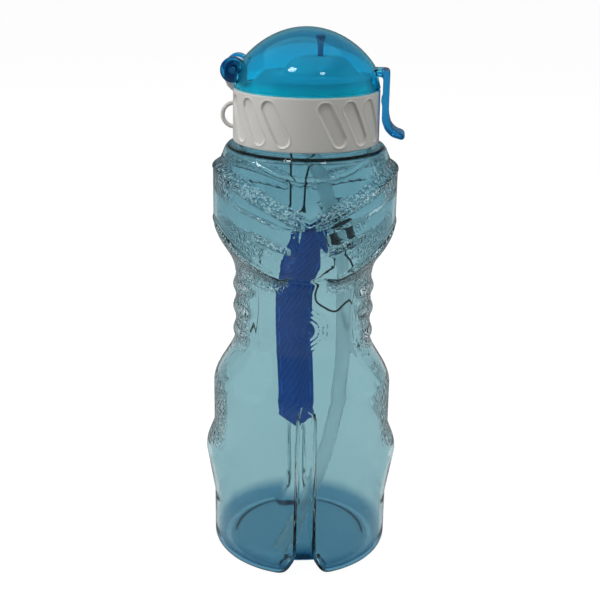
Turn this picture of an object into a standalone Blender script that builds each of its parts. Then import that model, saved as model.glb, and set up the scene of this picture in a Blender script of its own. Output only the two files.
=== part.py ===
"""Sports squeeze bottle with a screw lid, a hinged dome cover, a straw and a packed carry strap.

The origin is the middle of the base, on the surface that the bottle stands on. +Z is up and -Y is
the front. Lengths are in metres. The lid's parts are modelled in the lid's own frame, where the
cover hinges at -X and latches at +X, and an empty turns them all to where the thread stops.
"""

import math

import bmesh
import bpy
from mathutils import Matrix, Vector

MM = 0.001

# Clearances
GAP = 0.3 * MM  # between pieces that rest on each other
SWING_GAP = 0.5 * MM  # around pieces that turn past each other
THREAD_GAP = 0.9 * MM  # between the neck thread's crest and the lid's skirt
BORE_GAP = 0.3 * MM  # around the hinge pin
SOCKET_GAP = 0.4 * MM  # around the straw in its socket
OVERLAP = 1.0 * MM  # how far a cutter or a joined lump runs past the surface it meets

# Bottle body, radii
WALL = 1.3 * MM
BODY_RADIUS = 36.8 * MM
WAIST_RADIUS = 27.7 * MM
CHEST_RADIUS = 36.4 * MM
YOKE_STEP = 3.1 * MM  # from the chest plates in to the yoke
CORNER_RADIUS = 4.4 * MM
PUNT_SHOULDER = 5.1 * MM  # from the corner's foot in to the hollow of the base
CONTACT_WIDTH = 2.8 * MM
PUNT_RISE = 2.4 * MM
KNEE_BULGE = 3.4 * MM
RIB_RAISE = 1.0 * MM
STERNUM_DEPTH = 2.6 * MM
STERNUM_FOOT_DEPTH = 5.4 * MM  # at the chest plates' lower edge
STERNUM_HALF_WIDTH = 5.0 * MM
SHOULDER_CROWN = 1.6 * MM
SHOULDER_OVERHANG = 7.1 * MM  # of the yoke's top past the neck
NECK_ROOT = 2.8 * MM  # of the bead at the neck's foot
BODY_SEGMENTS = 48

# Bottle body, heights, from the base up
KNEE_LOW = 24.0 * MM
KNEE_RISE = 20.6 * MM
KNEE_FALL = 12.4 * MM
HIP_HEIGHT = 74.0 * MM
FLARE_LENGTH = 20.0 * MM
RIB_PITCH = 9.6 * MM
RIB_COUNT = 3
WAIST_LENGTH = 26.0 * MM
CHEST_UNDERCUT = 7.5 * MM
CHEST_EDGE_RISE = 16.0 * MM  # of the chest plates' lower edge, from the front to the sides
PLATE_HEIGHT = 20.5 * MM
YOKE_RISE = 17.5 * MM  # of the plates' upper edge, from the front to the sides
YOKE_BEVEL = 3.0 * MM
YOKE_HEIGHT = 3.8 * MM

# Centre groove that splits the base into two feet, at the front and at the back
GROOVE_HALF_WIDTH = 3.0 * MM
GROOVE_TOP = 75.0 * MM
GROOVE_STEP = 0.8 * MM
GROOVE_REACH = 13.2 * MM
GROOVE_FLARE = 6.0 * MM
GROOVE_FLARE_HEIGHT = 12.0 * MM

# Neck and screw thread
NECK_RADIUS = 24.6 * MM
NECK_LENGTH = 19.2 * MM
THREAD_PITCH = 4.0 * MM
THREAD_TURNS = 1.25
THREAD_DEPTH = 1.1 * MM
THREAD_THICKNESS = 1.4 * MM
THREAD_RISE = 8.2 * MM  # of the thread's start above the shoulder
THREAD_STEPS = 30  # to a turn

# Screw lid
LID_TURN = math.radians(-8.0)
LID_WALL = 1.8 * MM
LID_FLARE = 0.15 * MM
LID_LIFT = 3.0 * MM  # of the lid's lower edge above the shoulder
LEDGE_THICKNESS = 1.7 * MM
LEDGE_WIDTH = 3.2 * MM
GASKET_THICKNESS = 1.7 * MM
DRUM_HEIGHT = 4.6 * MM
DRUM_WALL = 2.0 * MM
EDGE_ROUND = 0.5 * MM
LID_SEGMENTS = 48
SOCKET_WALL = 0.8 * MM
SOCKET_LENGTH = 8.5 * MM  # below the neck's rim
CHAMBER_RADIUS = 6.9 * MM
CHAMBER_WALL = 1.2 * MM
MOUTH_OFFSET = 5.0 * MM
MOUTH_RADIUS = 1.7 * MM
SPOUT_HEIGHT = 7.5 * MM
SPOUT_LENGTH = 15.0 * MM
SPOUT_WIDTH = 11.5 * MM

# Grip slots in the lid's skirt
SLOT_WIDTH = 5.4 * MM
SLOT_LENGTH = 18.0 * MM
SLOT_DEPTH = 0.6 * MM
SLOT_LEAN = math.radians(28.0)
SLOT_PITCH = math.radians(20.3)
SLOTS_IN_GROUP = 3
SLOT_GROUPS = (44.8, 140.4, -135.2, -39.6)  # the groups' middles, in degrees from the front

# Eyelet for a carry ring, on the skirt below the hinge
EYELET_DROP = 11.3 * MM  # below the lid's ledge
EYELET_RISE = 4.3 * MM
EYELET_REACH = 5.0 * MM
EYELET_WIRE = 0.85 * MM

# Hinge
HINGE_INSET = 0.8 * MM  # of the pin from the lid's skirt
HINGE_RISE = 6.9 * MM  # of the pin above the lid's ledge
KNUCKLE_RADIUS = 4.8 * MM
KNUCKLE_INNER = 5.3 * MM
KNUCKLE_THICKNESS = 3.6 * MM
PIN_RADIUS = 1.2 * MM
LUG_RADIUS = 3.6 * MM
SWING_INSET = 9.9 * MM  # from the lid's side to the end of the cover's swing room

# Dome cover and its latch
DOME_WALL = 1.3 * MM
DOME_HEIGHT = 22.9 * MM  # above the lid's ledge
DOME_RIM_HEIGHT = 6.5 * MM
DOME_DRAFT = 1.5 * MM
DOME_POINT = 1.58  # 1 is round, and more is more pointed
DOME_SEGMENTS = 48
DOME_RINGS = 8
LATCH_WIDTH = 11.0 * MM
LATCH_THICKNESS = 2.8 * MM
LATCH_GAP = 0.9 * MM
LATCH_ROOT = 3.4 * MM
LATCH_RISE = 7.9 * MM  # of the bridge above the lid's ledge
LATCH_DROP = 11.2 * MM  # of the straight lever below the lid's ledge
LATCH_TAIL_RISE = 3.0 * MM  # of the tail above the lid's lower edge
LATCH_TAIL = 9.3 * MM  # how far the tail curves out
HOOK_DROP = 3.5 * MM

# Stopper that closes the mouth hole
STOPPER_RADIUS = 1.05 * MM
STOPPER_HEAD = 2.6 * MM
STOPPER_DIP = 2.4 * MM

# Straw
STRAW_RADIUS = 3.0 * MM
STRAW_WALL = 0.45 * MM
STRAW_SIDES = 10
STRAW_TOP_DROP = 1.5 * MM  # below the neck's rim
STRAW_STRAIGHT = 9.0 * MM
STRAW_ROUTE = (
    (3.4, 1.5, 168.0),
    (10.0, 3.5, 149.0),
    (15.9, 4.5, 122.0),
    (17.1, 1.0, 97.0),
    (15.3, -6.0, 72.0),
    (10.5, -12.5, 50.0),
    (3.6, -17.3, 31.0),
    (-3.9, -20.2, 15.0),
    (-9.6, -22.4, 5.6),
)

# Carry strap, packed inside the bottle
STRAP_BACK = -5.0 * MM
STRAP_FRONT = -16.5 * MM
STRAP_OUTLINE = (
    (-9.7, 65.0),
    (-2.4, 60.0),
    (4.2, 67.0),
    (2.7, 112.0),
    (4.2, 128.0),
    (8.4, 138.0),
    (8.4, 145.5),
    (-3.3, 146.0),
    (-9.4, 132.0),
    (-11.4, 112.0),
)
BUCKLE_SIZE = (9.0, 3.2, 12.5)
BUCKLE_CENTRE = (13.8, -12.5, 141.0)
BUCKLE_SLOT = (5.0, 1.8)
BUCKLE_TILT = math.radians(-28.0)
CORD_RADIUS = 0.4 * MM
HANGING_CORD_ROUTE = (
    (-5.8, -9.8, 142.5),
    (-6.1, -9.6, 150.0),
    (-6.1, -8.2, 160.0),
    (-5.9, -5.0, 172.0),
    (-5.8, -1.5, 180.0),
    (-4.3, 3.8, 182.0),
    (0.0, 5.8, 182.2),
    (4.3, 3.9, 182.0),
    (5.4, -0.5, 180.5),
    (3.0, -5.2, 172.5),
    (0.0, -7.8, 162.0),
    (-0.8, -9.6, 152.0),
    (-1.0, -9.8, 146.7),
)
TRAILING_CORD_ROUTE = (
    (11.8, -12.4, 133.5),
    (9.6, -14.0, 126.5),
    (4.9, -15.4, 122.0),
    (4.0, -15.0, 114.5),
    (7.6, -13.8, 110.6),
    (12.0, -12.8, 108.6),
    (15.6, -12.0, 111.5),
    (19.5, -11.0, 115.5),
    (20.0, -10.6, 122.0),
    (17.9, -11.2, 129.0),
    (14.4, -12.2, 133.0),
)

# Heights and radii that follow from the ones above
KNEE_PEAK = KNEE_LOW + KNEE_RISE
KNEE_HIGH = KNEE_PEAK + KNEE_FALL
PUNT_RADIUS = BODY_RADIUS - CORNER_RADIUS - PUNT_SHOULDER
WAIST_LOW = HIP_HEIGHT + FLARE_LENGTH
WAIST_HIGH = WAIST_LOW + WAIST_LENGTH
CHEST_FRONT_EDGE = WAIST_HIGH + CHEST_UNDERCUT
PLATE_TOP_FRONT = CHEST_FRONT_EDGE + PLATE_HEIGHT
SHOULDER_HEIGHT = PLATE_TOP_FRONT + YOKE_RISE + YOKE_BEVEL + YOKE_HEIGHT
YOKE_TOP_RADIUS = NECK_RADIUS + SHOULDER_OVERHANG
NECK_TOP = SHOULDER_HEIGHT + NECK_LENGTH
THREAD_START = SHOULDER_HEIGHT + THREAD_RISE
LID_INNER_RADIUS = NECK_RADIUS + THREAD_DEPTH + THREAD_GAP
LID_RADIUS = LID_INNER_RADIUS + LID_WALL
LID_BOTTOM = SHOULDER_HEIGHT + LID_LIFT
LEDGE_UNDERSIDE = NECK_TOP + GASKET_THICKNESS + 2.0 * GAP
LID_LEDGE = LEDGE_UNDERSIDE + LEDGE_THICKNESS
DRUM_RADIUS = LID_RADIUS - LEDGE_WIDTH
DRUM_TOP = LID_LEDGE + DRUM_HEIGHT
DECK_UNDERSIDE = DRUM_TOP - LEDGE_THICKNESS
SOCKET_BORE = STRAW_RADIUS + SOCKET_GAP
SOCKET_RADIUS = SOCKET_BORE + SOCKET_WALL
SOCKET_BOTTOM = NECK_TOP - SOCKET_LENGTH
SPOUT_TOP = DRUM_TOP + SPOUT_HEIGHT
HINGE_X = HINGE_INSET - LID_RADIUS
HINGE_Z = LID_LEDGE + HINGE_RISE
PIN_LENGTH = 2.0 * (KNUCKLE_INNER + KNUCKLE_THICKNESS)
PIN_BORE = PIN_RADIUS + BORE_GAP
DOME_BOTTOM = LID_LEDGE + GAP
DOME_TOP = LID_LEDGE + DOME_HEIGHT
DOME_INNER_RADIUS = LID_RADIUS - DOME_WALL
SWING_HALF_WIDTH = LID_RADIUS - SWING_INSET
RIM_REACH = -math.sqrt(DOME_INNER_RADIUS**2 - SWING_HALF_WIDTH**2) - HINGE_X
SWING_RADIUS = math.hypot(RIM_REACH, HINGE_Z - DOME_BOTTOM) + SWING_GAP


def clear_scene():
    """Removes every object that the file opened with."""
    for obj in list(bpy.data.objects):
        bpy.data.objects.remove(obj, do_unlink=True)


def plastic(name, colour, roughness, metallic=0.0):
    """A plain Principled material."""
    material = bpy.data.materials.new(name)
    material.use_nodes = True
    shader = material.node_tree.nodes["Principled BSDF"]
    shader.inputs["Base Color"].default_value = (*colour, 1.0)
    shader.inputs["Roughness"].default_value = roughness
    shader.inputs["Metallic"].default_value = metallic
    return material


def object_from(mesh_builder, name):
    """Turns a bmesh into an object with outward faces, and frees the bmesh."""
    bmesh.ops.recalc_face_normals(mesh_builder, faces=mesh_builder.faces)
    mesh = bpy.data.meshes.new(name)
    mesh_builder.to_mesh(mesh)
    mesh_builder.free()
    obj = bpy.data.objects.new(name, mesh)
    bpy.context.scene.collection.objects.link(obj)
    return obj


def loft(rings, name, tip_first=False, tip_last=False):
    """A closed solid through rings of equal length. A tip end closes in one point."""
    builder = bmesh.new()
    loops = [[builder.verts.new(point) for point in ring] for ring in rings]
    for lower, upper in zip(loops, loops[1:]):
        for index in range(len(lower)):
            following = (index + 1) % len(lower)
            builder.faces.new((lower[index], lower[following], upper[following], upper[index]))
    for loop, tip in ((loops[0], tip_first), (loops[-1], tip_last)):
        if tip:
            bmesh.ops.pointmerge(builder, verts=loop, merge_co=loop[0].co)
        else:
            builder.faces.new(loop)
    return object_from(builder, name)


def ring_at(radius, height, segments):
    """A level ring of points about the Z axis. The first point lies at the front, at -Y."""
    turns = (math.tau * index / segments for index in range(segments))
    return [Vector((radius * math.sin(t), -radius * math.cos(t), height)) for t in turns]


def turned(profile, name, segments):
    """A solid turned about Z from a closed profile of (radius, height) points off the axis."""
    builder = bmesh.new()
    loops = [[builder.verts.new(p) for p in ring_at(r, z, segments)] for r, z in profile]
    for lower, upper in zip(loops, loops[1:] + loops[:1]):
        for index in range(segments):
            following = (index + 1) % segments
            builder.faces.new((lower[index], lower[following], upper[following], upper[index]))
    return object_from(builder, name)


def turned_solid(profile, name, segments):
    """A solid turned about Z from a profile that starts and ends on the axis."""
    rings = [ring_at(r, z, segments) for r, z in profile]
    return loft(rings, name, tip_first=profile[0][0] == 0.0, tip_last=profile[-1][0] == 0.0)


def extruded(outline, start, end, name):
    """A prism: an (x, z) outline run along Y from start to end."""
    near = [Vector((x, start, z)) for x, z in outline]
    far = [Vector((x, end, z)) for x, z in outline]
    return loft([near, far], name)


def rod(radius, start, end, name, segments=16):
    """A round bar between two points."""
    axis = Vector(end) - Vector(start)
    turn = Vector((0.0, 0.0, 1.0)).rotation_difference(axis).to_matrix()
    rings = []
    for height in (0.0, axis.length):
        ring = ring_at(radius, height, segments)
        rings.append([turn @ point + Vector(start) for point in ring])
    return loft(rings, name)


def combine(target, tool, operation):
    """Joins, cuts or intersects the target with the tool, which is used up."""
    modifier = target.modifiers.new("combine", "BOOLEAN")
    modifier.operation = operation
    modifier.solver = "EXACT"
    modifier.object = tool
    bpy.context.view_layer.update()
    evaluated = target.evaluated_get(bpy.context.evaluated_depsgraph_get())
    mesh = bpy.data.meshes.new_from_object(evaluated)
    target.modifiers.clear()
    target.data = mesh
    bpy.data.objects.remove(tool, do_unlink=True)


def finish(obj, material, parent=None):
    """Cleans a piece, dresses it, shades it smooth between sharp edges and parents it."""
    builder = bmesh.new()
    builder.from_mesh(obj.data)
    bmesh.ops.remove_doubles(builder, verts=builder.verts, dist=0.002 * MM)
    bmesh.ops.dissolve_degenerate(builder, edges=builder.edges, dist=0.002 * MM)
    bmesh.ops.triangulate(builder, faces=[f for f in builder.faces if len(f.verts) > 4])
    if parent is not None:
        bmesh.ops.translate(builder, verts=builder.verts, vec=-parent_offset(parent))
    builder.to_mesh(obj.data)
    builder.free()
    obj.data.materials.clear()
    obj.data.materials.append(material)
    obj.data.shade_smooth()
    obj.data.set_sharp_from_angle(angle=math.radians(35.0))
    obj.parent = parent


def parent_offset(parent):
    """Where a lid or pivot empty stands in the lid's own frame."""
    offset = Vector((0.0, 0.0, 0.0))
    while parent is not None:
        offset += parent.location
        parent = parent.parent
    return offset


def smooth_route(points, per_span):
    """A smooth line through a route's points, given in millimetres."""
    ends = [points[0], *points, points[-1]]
    line = []
    for a, b, c, d in zip(ends, ends[1:], ends[2:], ends[3:]):
        before, start, stop, after = (Vector(p) * MM for p in (a, b, c, d))
        for step in range(per_span):
            t = step / per_span
            bend = (2.0 * before - 5.0 * start + 4.0 * stop - after) * t**2
            swing = (3.0 * start - before - 3.0 * stop + after) * t**3
            line.append(0.5 * (2.0 * start + (stop - before) * t + bend + swing))
    line.append(Vector(points[-1]) * MM)
    return line


def smoothstep(value):
    """Eases from 0 to 1 as the value goes from 0 to 1."""
    value = min(max(value, 0.0), 1.0)
    return value * value * (3.0 - 2.0 * value)


def mix(start, end, share):
    """The value a share of the way from start to end."""
    return start + (end - start) * share


# ---------------------------------------------------------------- bottle body


def side_share(azimuth):
    """0 at the front and the back, 1 at the two sides."""
    return abs(math.sin(azimuth))


def chest_edge(azimuth):
    """Height of the chest plates' lower edge."""
    return CHEST_FRONT_EDGE + CHEST_EDGE_RISE * side_share(azimuth) ** 2


def plate_top(azimuth):
    """Height of the chest plates' upper edge, a V that drops to the front."""
    return PLATE_TOP_FRONT + YOKE_RISE * side_share(azimuth)


def knee(azimuth, height):
    """How far the knees bulge at the sides."""
    side = smoothstep((side_share(azimuth) - 0.75) / 0.25)
    if height < KNEE_PEAK:
        return KNEE_BULGE * side * max(0.0, (height - KNEE_LOW) / (KNEE_PEAK - KNEE_LOW))
    return KNEE_BULGE * side * (1.0 - smoothstep((height - KNEE_PEAK) / (KNEE_HIGH - KNEE_PEAK)))


def hip_radius(height):
    """Radius between the straight lower body and the waist."""
    share = smoothstep((height - HIP_HEIGHT) / (WAIST_LOW + 2.0 * MM - HIP_HEIGHT))
    return mix(BODY_RADIUS, WAIST_RADIUS, share)


def sternum(azimuth, radius, depth):
    """How deep the channel between the chest plates is, from its depth in the middle."""
    across = radius * side_share(azimuth)
    return depth * (1.0 - smoothstep((across / STERNUM_HALF_WIDTH - 0.4) / 0.9))


def base_profile():
    """The turned base, from its centre to the straight wall."""
    flat_inner = PUNT_RADIUS + CONTACT_WIDTH
    flat_outer = BODY_RADIUS - CORNER_RADIUS
    points = [(0.0, PUNT_RISE), (0.85 * PUNT_RADIUS, PUNT_RISE), (PUNT_RADIUS, PUNT_RISE / 3.0)]
    points += [(flat_inner, 0.0), (flat_outer, 0.0)]
    for turn in (30.0, 60.0, 90.0):
        across = CORNER_RADIUS * math.sin(math.radians(turn))
        up = CORNER_RADIUS * (1.0 - math.cos(math.radians(turn)))
        points.append((flat_outer + across, up))
    return points


def body_column(azimuth):
    """The outer (radius, height) points at one azimuth, from the base centre to the neck's top."""
    points = base_profile()
    knee_rows = (KNEE_LOW, 0.5 * (KNEE_LOW + KNEE_PEAK), KNEE_PEAK)
    knee_rows += (0.5 * (KNEE_PEAK + KNEE_HIGH), KNEE_HIGH, HIP_HEIGHT)
    points += [(BODY_RADIUS + knee(azimuth, z), z) for z in knee_rows]
    hip_step = (WAIST_LOW - HIP_HEIGHT) / 5.0
    points += [(hip_radius(z), z) for z in (HIP_HEIGHT + hip_step * n for n in (1, 2, 3, 4, 5))]
    rib = RIB_RAISE * smoothstep((side_share(azimuth) - 0.65) / 0.25)
    for index in range(RIB_COUNT):
        crest = WAIST_LOW + RIB_PITCH * (index + 0.35)
        points.append((WAIST_RADIUS + rib, crest))
        points.append((WAIST_RADIUS, crest + 0.5 * RIB_PITCH))
    edge = chest_edge(azimuth)
    for share in (0.35, 0.6, 0.82):
        radius = mix(WAIST_RADIUS, CHEST_RADIUS, smoothstep(share**1.25))
        height = mix(WAIST_HIGH, edge, share)
        channel = sternum(azimuth, radius, STERNUM_FOOT_DEPTH)
        points.append((max(radius - share * channel, WAIST_RADIUS), height))
    top = plate_top(azimuth)
    for share in (0.0, 0.5, 1.0):
        channel = sternum(azimuth, CHEST_RADIUS, mix(STERNUM_FOOT_DEPTH, STERNUM_DEPTH, share))
        points.append((CHEST_RADIUS - channel, mix(edge, top, share)))
    points.append((CHEST_RADIUS - YOKE_STEP, top + YOKE_BEVEL))
    points.append((YOKE_TOP_RADIUS, SHOULDER_HEIGHT))
    points.append((YOKE_TOP_RADIUS - 0.7 * SHOULDER_CROWN, SHOULDER_HEIGHT + SHOULDER_CROWN))
    root = NECK_RADIUS + NECK_ROOT
    points.append((root + SHOULDER_CROWN, SHOULDER_HEIGHT + 0.8 * SHOULDER_CROWN))
    points.append((root, SHOULDER_HEIGHT + 0.2 * SHOULDER_CROWN))
    points.append((NECK_RADIUS, SHOULDER_HEIGHT + SHOULDER_CROWN))
    points.append((NECK_RADIUS, NECK_TOP))
    return points


def inset(column, distance):
    """A column moved inwards along its own normals by a distance."""
    moved = []
    for index, (radius, height) in enumerate(column):
        before = Vector(column[max(index - 1, 0)])
        after = Vector(column[min(index + 1, len(column) - 1)])
        here = Vector((radius, height))
        runs = [run.normalized() for run in (here - before, after - here) if run.length > 0.0]
        normals = [Vector((-run.y, run.x)) for run in runs]
        middle = sum(normals, Vector((0.0, 0.0))).normalized()
        spread = max(middle.dot(normals[0]), 0.6)
        shifted = here + middle * (distance / spread)
        moved.append((0.0 if radius == 0.0 else shifted.x, shifted.y))
    return moved


def around(columns):
    """Level rings from one column of points at each azimuth."""
    rings = []
    for level in range(len(columns[0])):
        ring = []
        for index, column in enumerate(columns):
            turn = math.tau * index / len(columns)
            radius, height = column[level]
            ring.append(Vector((radius * math.sin(turn), -radius * math.cos(turn), height)))
        rings.append(ring)
    return rings


def groove_depth(height):
    """How far the centre groove cuts in at a height."""
    share = min(max(height / GROOVE_TOP, 0.0), 1.0)
    return GROOVE_STEP + GROOVE_REACH * (1.0 - share) ** 1.5


def groove_half_width(height, grow):
    """Half the groove's width: an arch at its top, a bell at its foot."""
    arch = GROOVE_TOP - GROOVE_HALF_WIDTH
    width = GROOVE_HALF_WIDTH
    if height > arch:
        width *= math.sqrt(max(1.0 - ((height - arch) / GROOVE_HALF_WIDTH) ** 2, 0.01))
    if height < GROOVE_FLARE_HEIGHT:
        width += GROOVE_FLARE * (1.0 - height / GROOVE_FLARE_HEIGHT) ** 2
    return width + grow


def groove_cutter(side, grow, name):
    """The solid that cuts the groove at the front (-1) or the back (1), grown by a wall."""
    arch = GROOVE_TOP - GROOVE_HALF_WIDTH
    flare = GROOVE_FLARE_HEIGHT
    heights = [-OVERLAP, 0.2 * flare, 0.45 * flare, 0.7 * flare, flare, 2.0 * flare, 3.5 * flare]
    heights += [arch, arch + 0.5 * GROOVE_HALF_WIDTH, arch + 0.85 * GROOVE_HALF_WIDTH, GROOVE_TOP]
    outside = BODY_RADIUS + KNEE_BULGE
    rings = []
    for height in heights:
        half = groove_half_width(max(height, 0.0), grow)
        floor = BODY_RADIUS - groove_depth(height) - grow
        round_in = min(0.8 * half, GROOVE_HALF_WIDTH)
        ring = [(-half, outside), (-half, floor + round_in), (-0.6 * half, floor + 0.25 * round_in)]
        ring += [(0.0, floor), (0.6 * half, floor + 0.25 * round_in)]
        ring += [(half, floor + round_in), (half, outside)]
        lift = grow if height == GROOVE_TOP else 0.0
        rings.append([Vector((x, side * y, height + lift)) for x, y in ring])
    return loft(rings, name)


def thread_ridge(root, crest, start, name):
    """A helical ridge between two radii, from a start height, one pitch to a turn."""
    half = 0.5 * THREAD_THICKNESS
    count = int(THREAD_TURNS * THREAD_STEPS)
    rings = []
    for index in range(count + 1):
        turn = math.tau * index / THREAD_STEPS
        ends = min(index, count - index) / 3.0
        tip = mix(root, crest, 0.15 + 0.85 * min(ends, 1.0))
        height = start + THREAD_PITCH * index / THREAD_STEPS
        section = ((root, -half), (tip, -0.4 * half), (tip, 0.4 * half), (root, half))
        out = Vector((math.cos(turn), math.sin(turn), 0.0))
        rings.append([out * r + Vector((0.0, 0.0, height + z)) for r, z in section])
    return loft(rings, name)


def bottle_body():
    """The blow-moulded shell, hollow and open at the neck, with its neck thread."""
    turns = [math.tau * index / BODY_SEGMENTS for index in range(BODY_SEGMENTS)]
    columns = [body_column(turn) for turn in turns]
    body = loft(around(columns), "bottle_body", tip_first=True)
    cavity_columns = [inset(column, WALL) for column in columns]
    for column in cavity_columns:
        column[-1] = (NECK_RADIUS - WALL, NECK_TOP + OVERLAP)
    cavity = loft(around(cavity_columns), "cavity", tip_first=True)
    for side in (-1, 1):
        combine(body, groove_cutter(side, 0.0, "groove"), "DIFFERENCE")
        combine(cavity, groove_cutter(side, WALL, "groove_wall"), "DIFFERENCE")
    root = NECK_RADIUS - 0.5 * WALL
    ridge = thread_ridge(root, NECK_RADIUS + THREAD_DEPTH, THREAD_START, "ridge")
    combine(body, ridge, "UNION")
    combine(body, cavity, "DIFFERENCE")
    finish(body, plastic("clear_teal", (0.25, 0.55, 0.62), 0.12))


# ------------------------------------------------------------------ screw lid


def lid_profile():
    """The lid's closed section: deck, drum, ledge, skirt and the underside of the ledge."""
    foot = LID_RADIUS + LID_FLARE
    profile = [(0.0, DRUM_TOP), (DRUM_RADIUS - EDGE_ROUND, DRUM_TOP)]
    profile += [(DRUM_RADIUS, DRUM_TOP - EDGE_ROUND), (DRUM_RADIUS, LID_LEDGE)]
    profile += [(LID_RADIUS - EDGE_ROUND, LID_LEDGE), (LID_RADIUS, LID_LEDGE - EDGE_ROUND)]
    profile += [(foot, LID_BOTTOM + EDGE_ROUND), (foot - EDGE_ROUND, LID_BOTTOM)]
    profile += [(LID_INNER_RADIUS, LID_BOTTOM), (LID_INNER_RADIUS, LEDGE_UNDERSIDE)]
    return profile + [(0.0, LEDGE_UNDERSIDE)]


def swing_room(grow):
    """The space that the cover's rim swings through beside the drum, grown by a wall."""
    half = SWING_HALF_WIDTH + grow
    near, far = (HINGE_X, -half, HINGE_Z), (HINGE_X, half, HINGE_Z)
    room = rod(SWING_RADIUS + grow, near, far, "swing_room", 32)
    reach = 2.0 * LID_RADIUS
    floor = LID_LEDGE - grow
    above = [(-reach, floor), (reach, floor), (reach, DOME_TOP), (-reach, DOME_TOP)]
    combine(room, extruded(above, -reach, reach, "above_ledge"), "INTERSECT")
    return room


def drum_hollow():
    """The ring-shaped hollow under the deck, clear of the swing room's wall."""
    inner, outer = CHAMBER_RADIUS + CHAMBER_WALL, DRUM_RADIUS - DRUM_WALL
    low = LEDGE_UNDERSIDE - OVERLAP
    profile = [(inner, low), (outer, low), (outer, DECK_UNDERSIDE), (inner, DECK_UNDERSIDE)]
    hollow = turned(profile, "drum_hollow", LID_SEGMENTS)
    combine(hollow, swing_room(LEDGE_THICKNESS), "DIFFERENCE")
    return hollow


def straw_socket():
    """The tube and the chamber wall that hang from the deck's underside."""
    outer = CHAMBER_RADIUS + CHAMBER_WALL
    floor = LEDGE_UNDERSIDE - CHAMBER_WALL
    profile = [(0.0, DRUM_TOP - OVERLAP), (outer, DRUM_TOP - OVERLAP), (outer, floor)]
    profile += [(SOCKET_RADIUS, floor), (SOCKET_RADIUS, SOCKET_BOTTOM), (0.0, SOCKET_BOTTOM)]
    return turned_solid(profile, "socket", 32)


def socket_bore():
    """The straw's bore and the wider chamber that leads to the mouth hole."""
    profile = [(0.0, DECK_UNDERSIDE), (CHAMBER_RADIUS, DECK_UNDERSIDE)]
    profile += [(CHAMBER_RADIUS, LEDGE_UNDERSIDE), (SOCKET_BORE, LEDGE_UNDERSIDE)]
    profile += [(SOCKET_BORE, SOCKET_BOTTOM - OVERLAP), (0.0, SOCKET_BOTTOM - OVERLAP)]
    return turned_solid(profile, "bore", 32)


def spout():
    """The low mound that carries the mouth hole."""
    rings = []
    for share in (0.0, 0.2, 0.5, 0.8, 1.0):
        spread = 1.0 - 0.62 * share**1.3
        foot = DRUM_TOP - 0.5 * LEDGE_THICKNESS
        height = mix(foot, SPOUT_TOP, math.sin(0.5 * math.pi * share))
        ring = ring_at(spread, height, 24)
        squeeze = [Vector((p.x * SPOUT_LENGTH, p.y * SPOUT_WIDTH, p.z)) for p in ring]
        rings.append([point + Vector((MOUTH_OFFSET, 0.0, 0.0)) for point in squeeze])
    return loft(rings, "spout")


def grip_slot(turn):
    """The cutter of one leaning obround slot in the skirt."""
    half = 0.5 * SLOT_WIDTH
    straight = 0.5 * SLOT_LENGTH - half
    outline = []
    for centre, first in ((straight, 0.0), (-straight, math.pi)):
        for step in range(7):
            angle = first + math.pi * step / 6.0
            outline.append((half * math.cos(angle), centre + half * math.sin(angle)))
    middle = 0.5 * (LID_BOTTOM + LID_LEDGE)
    rings = []
    for radius in (LID_RADIUS - SLOT_DEPTH, LID_RADIUS + 2.0 * OVERLAP):
        ring = []
        for x, z in outline:
            across = x * math.cos(SLOT_LEAN) - z * math.sin(SLOT_LEAN)
            up = x * math.sin(SLOT_LEAN) + z * math.cos(SLOT_LEAN)
            angle = turn + across / LID_RADIUS
            ring.append((radius * math.sin(angle), -radius * math.cos(angle), middle + up))
        rings.append([Vector(point) for point in ring])
    return loft(rings, "grip_slot")


def eyelet():
    """A D-shaped wire loop that stands out from the skirt at -X."""
    rings = []
    count = 10
    root = -(LID_RADIUS - 0.5 * LID_WALL)
    for index in range(count + 1):
        turn = math.pi * index / count
        centre = Vector((root - (EYELET_REACH + 0.5 * LID_WALL) * math.sin(turn), 0.0, 0.0))
        centre.z = LID_LEDGE - EYELET_DROP + EYELET_RISE * math.cos(turn)
        out = Vector((-math.sin(turn), 0.0, math.cos(turn)))
        ring = []
        for side in range(8):
            angle = math.tau * side / 8
            sideways = Vector((0.0, EYELET_WIRE * math.sin(angle), 0.0))
            ring.append(centre + out * (EYELET_WIRE * math.cos(angle)) + sideways)
        rings.append(ring)
    return loft(rings, "eyelet")


def hinge_lug():
    """The lid's half of the hinge, a rounded tab that stands between the cover's knuckles."""
    half = KNUCKLE_INNER - SWING_GAP
    outline = []
    for step in range(9):
        angle = math.pi * step / 8.0
        across, up = LUG_RADIUS * math.cos(angle), LUG_RADIUS * math.sin(angle)
        outline.append((HINGE_X + across, HINGE_Z + up))
    foot = LID_LEDGE - 0.5 * LEDGE_THICKNESS
    outline += [(HINGE_X - LUG_RADIUS, LID_LEDGE + LID_WALL), (OVERLAP - LID_RADIUS, foot)]
    outline += [(HINGE_X + LUG_RADIUS, foot)]
    lug = extruded(outline, -half, half, "lug")
    reach = half + OVERLAP
    hole = rod(PIN_BORE, (HINGE_X, -reach, HINGE_Z), (HINGE_X, reach, HINGE_Z), "hole")
    combine(lug, hole, "DIFFERENCE")
    return lug


def mouth_hole():
    """The drinking hole through the spout."""
    low = (MOUTH_OFFSET, 0.0, DECK_UNDERSIDE - OVERLAP)
    high = (MOUTH_OFFSET, 0.0, SPOUT_TOP + OVERLAP)
    return rod(MOUTH_RADIUS, low, high, "mouth")


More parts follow.
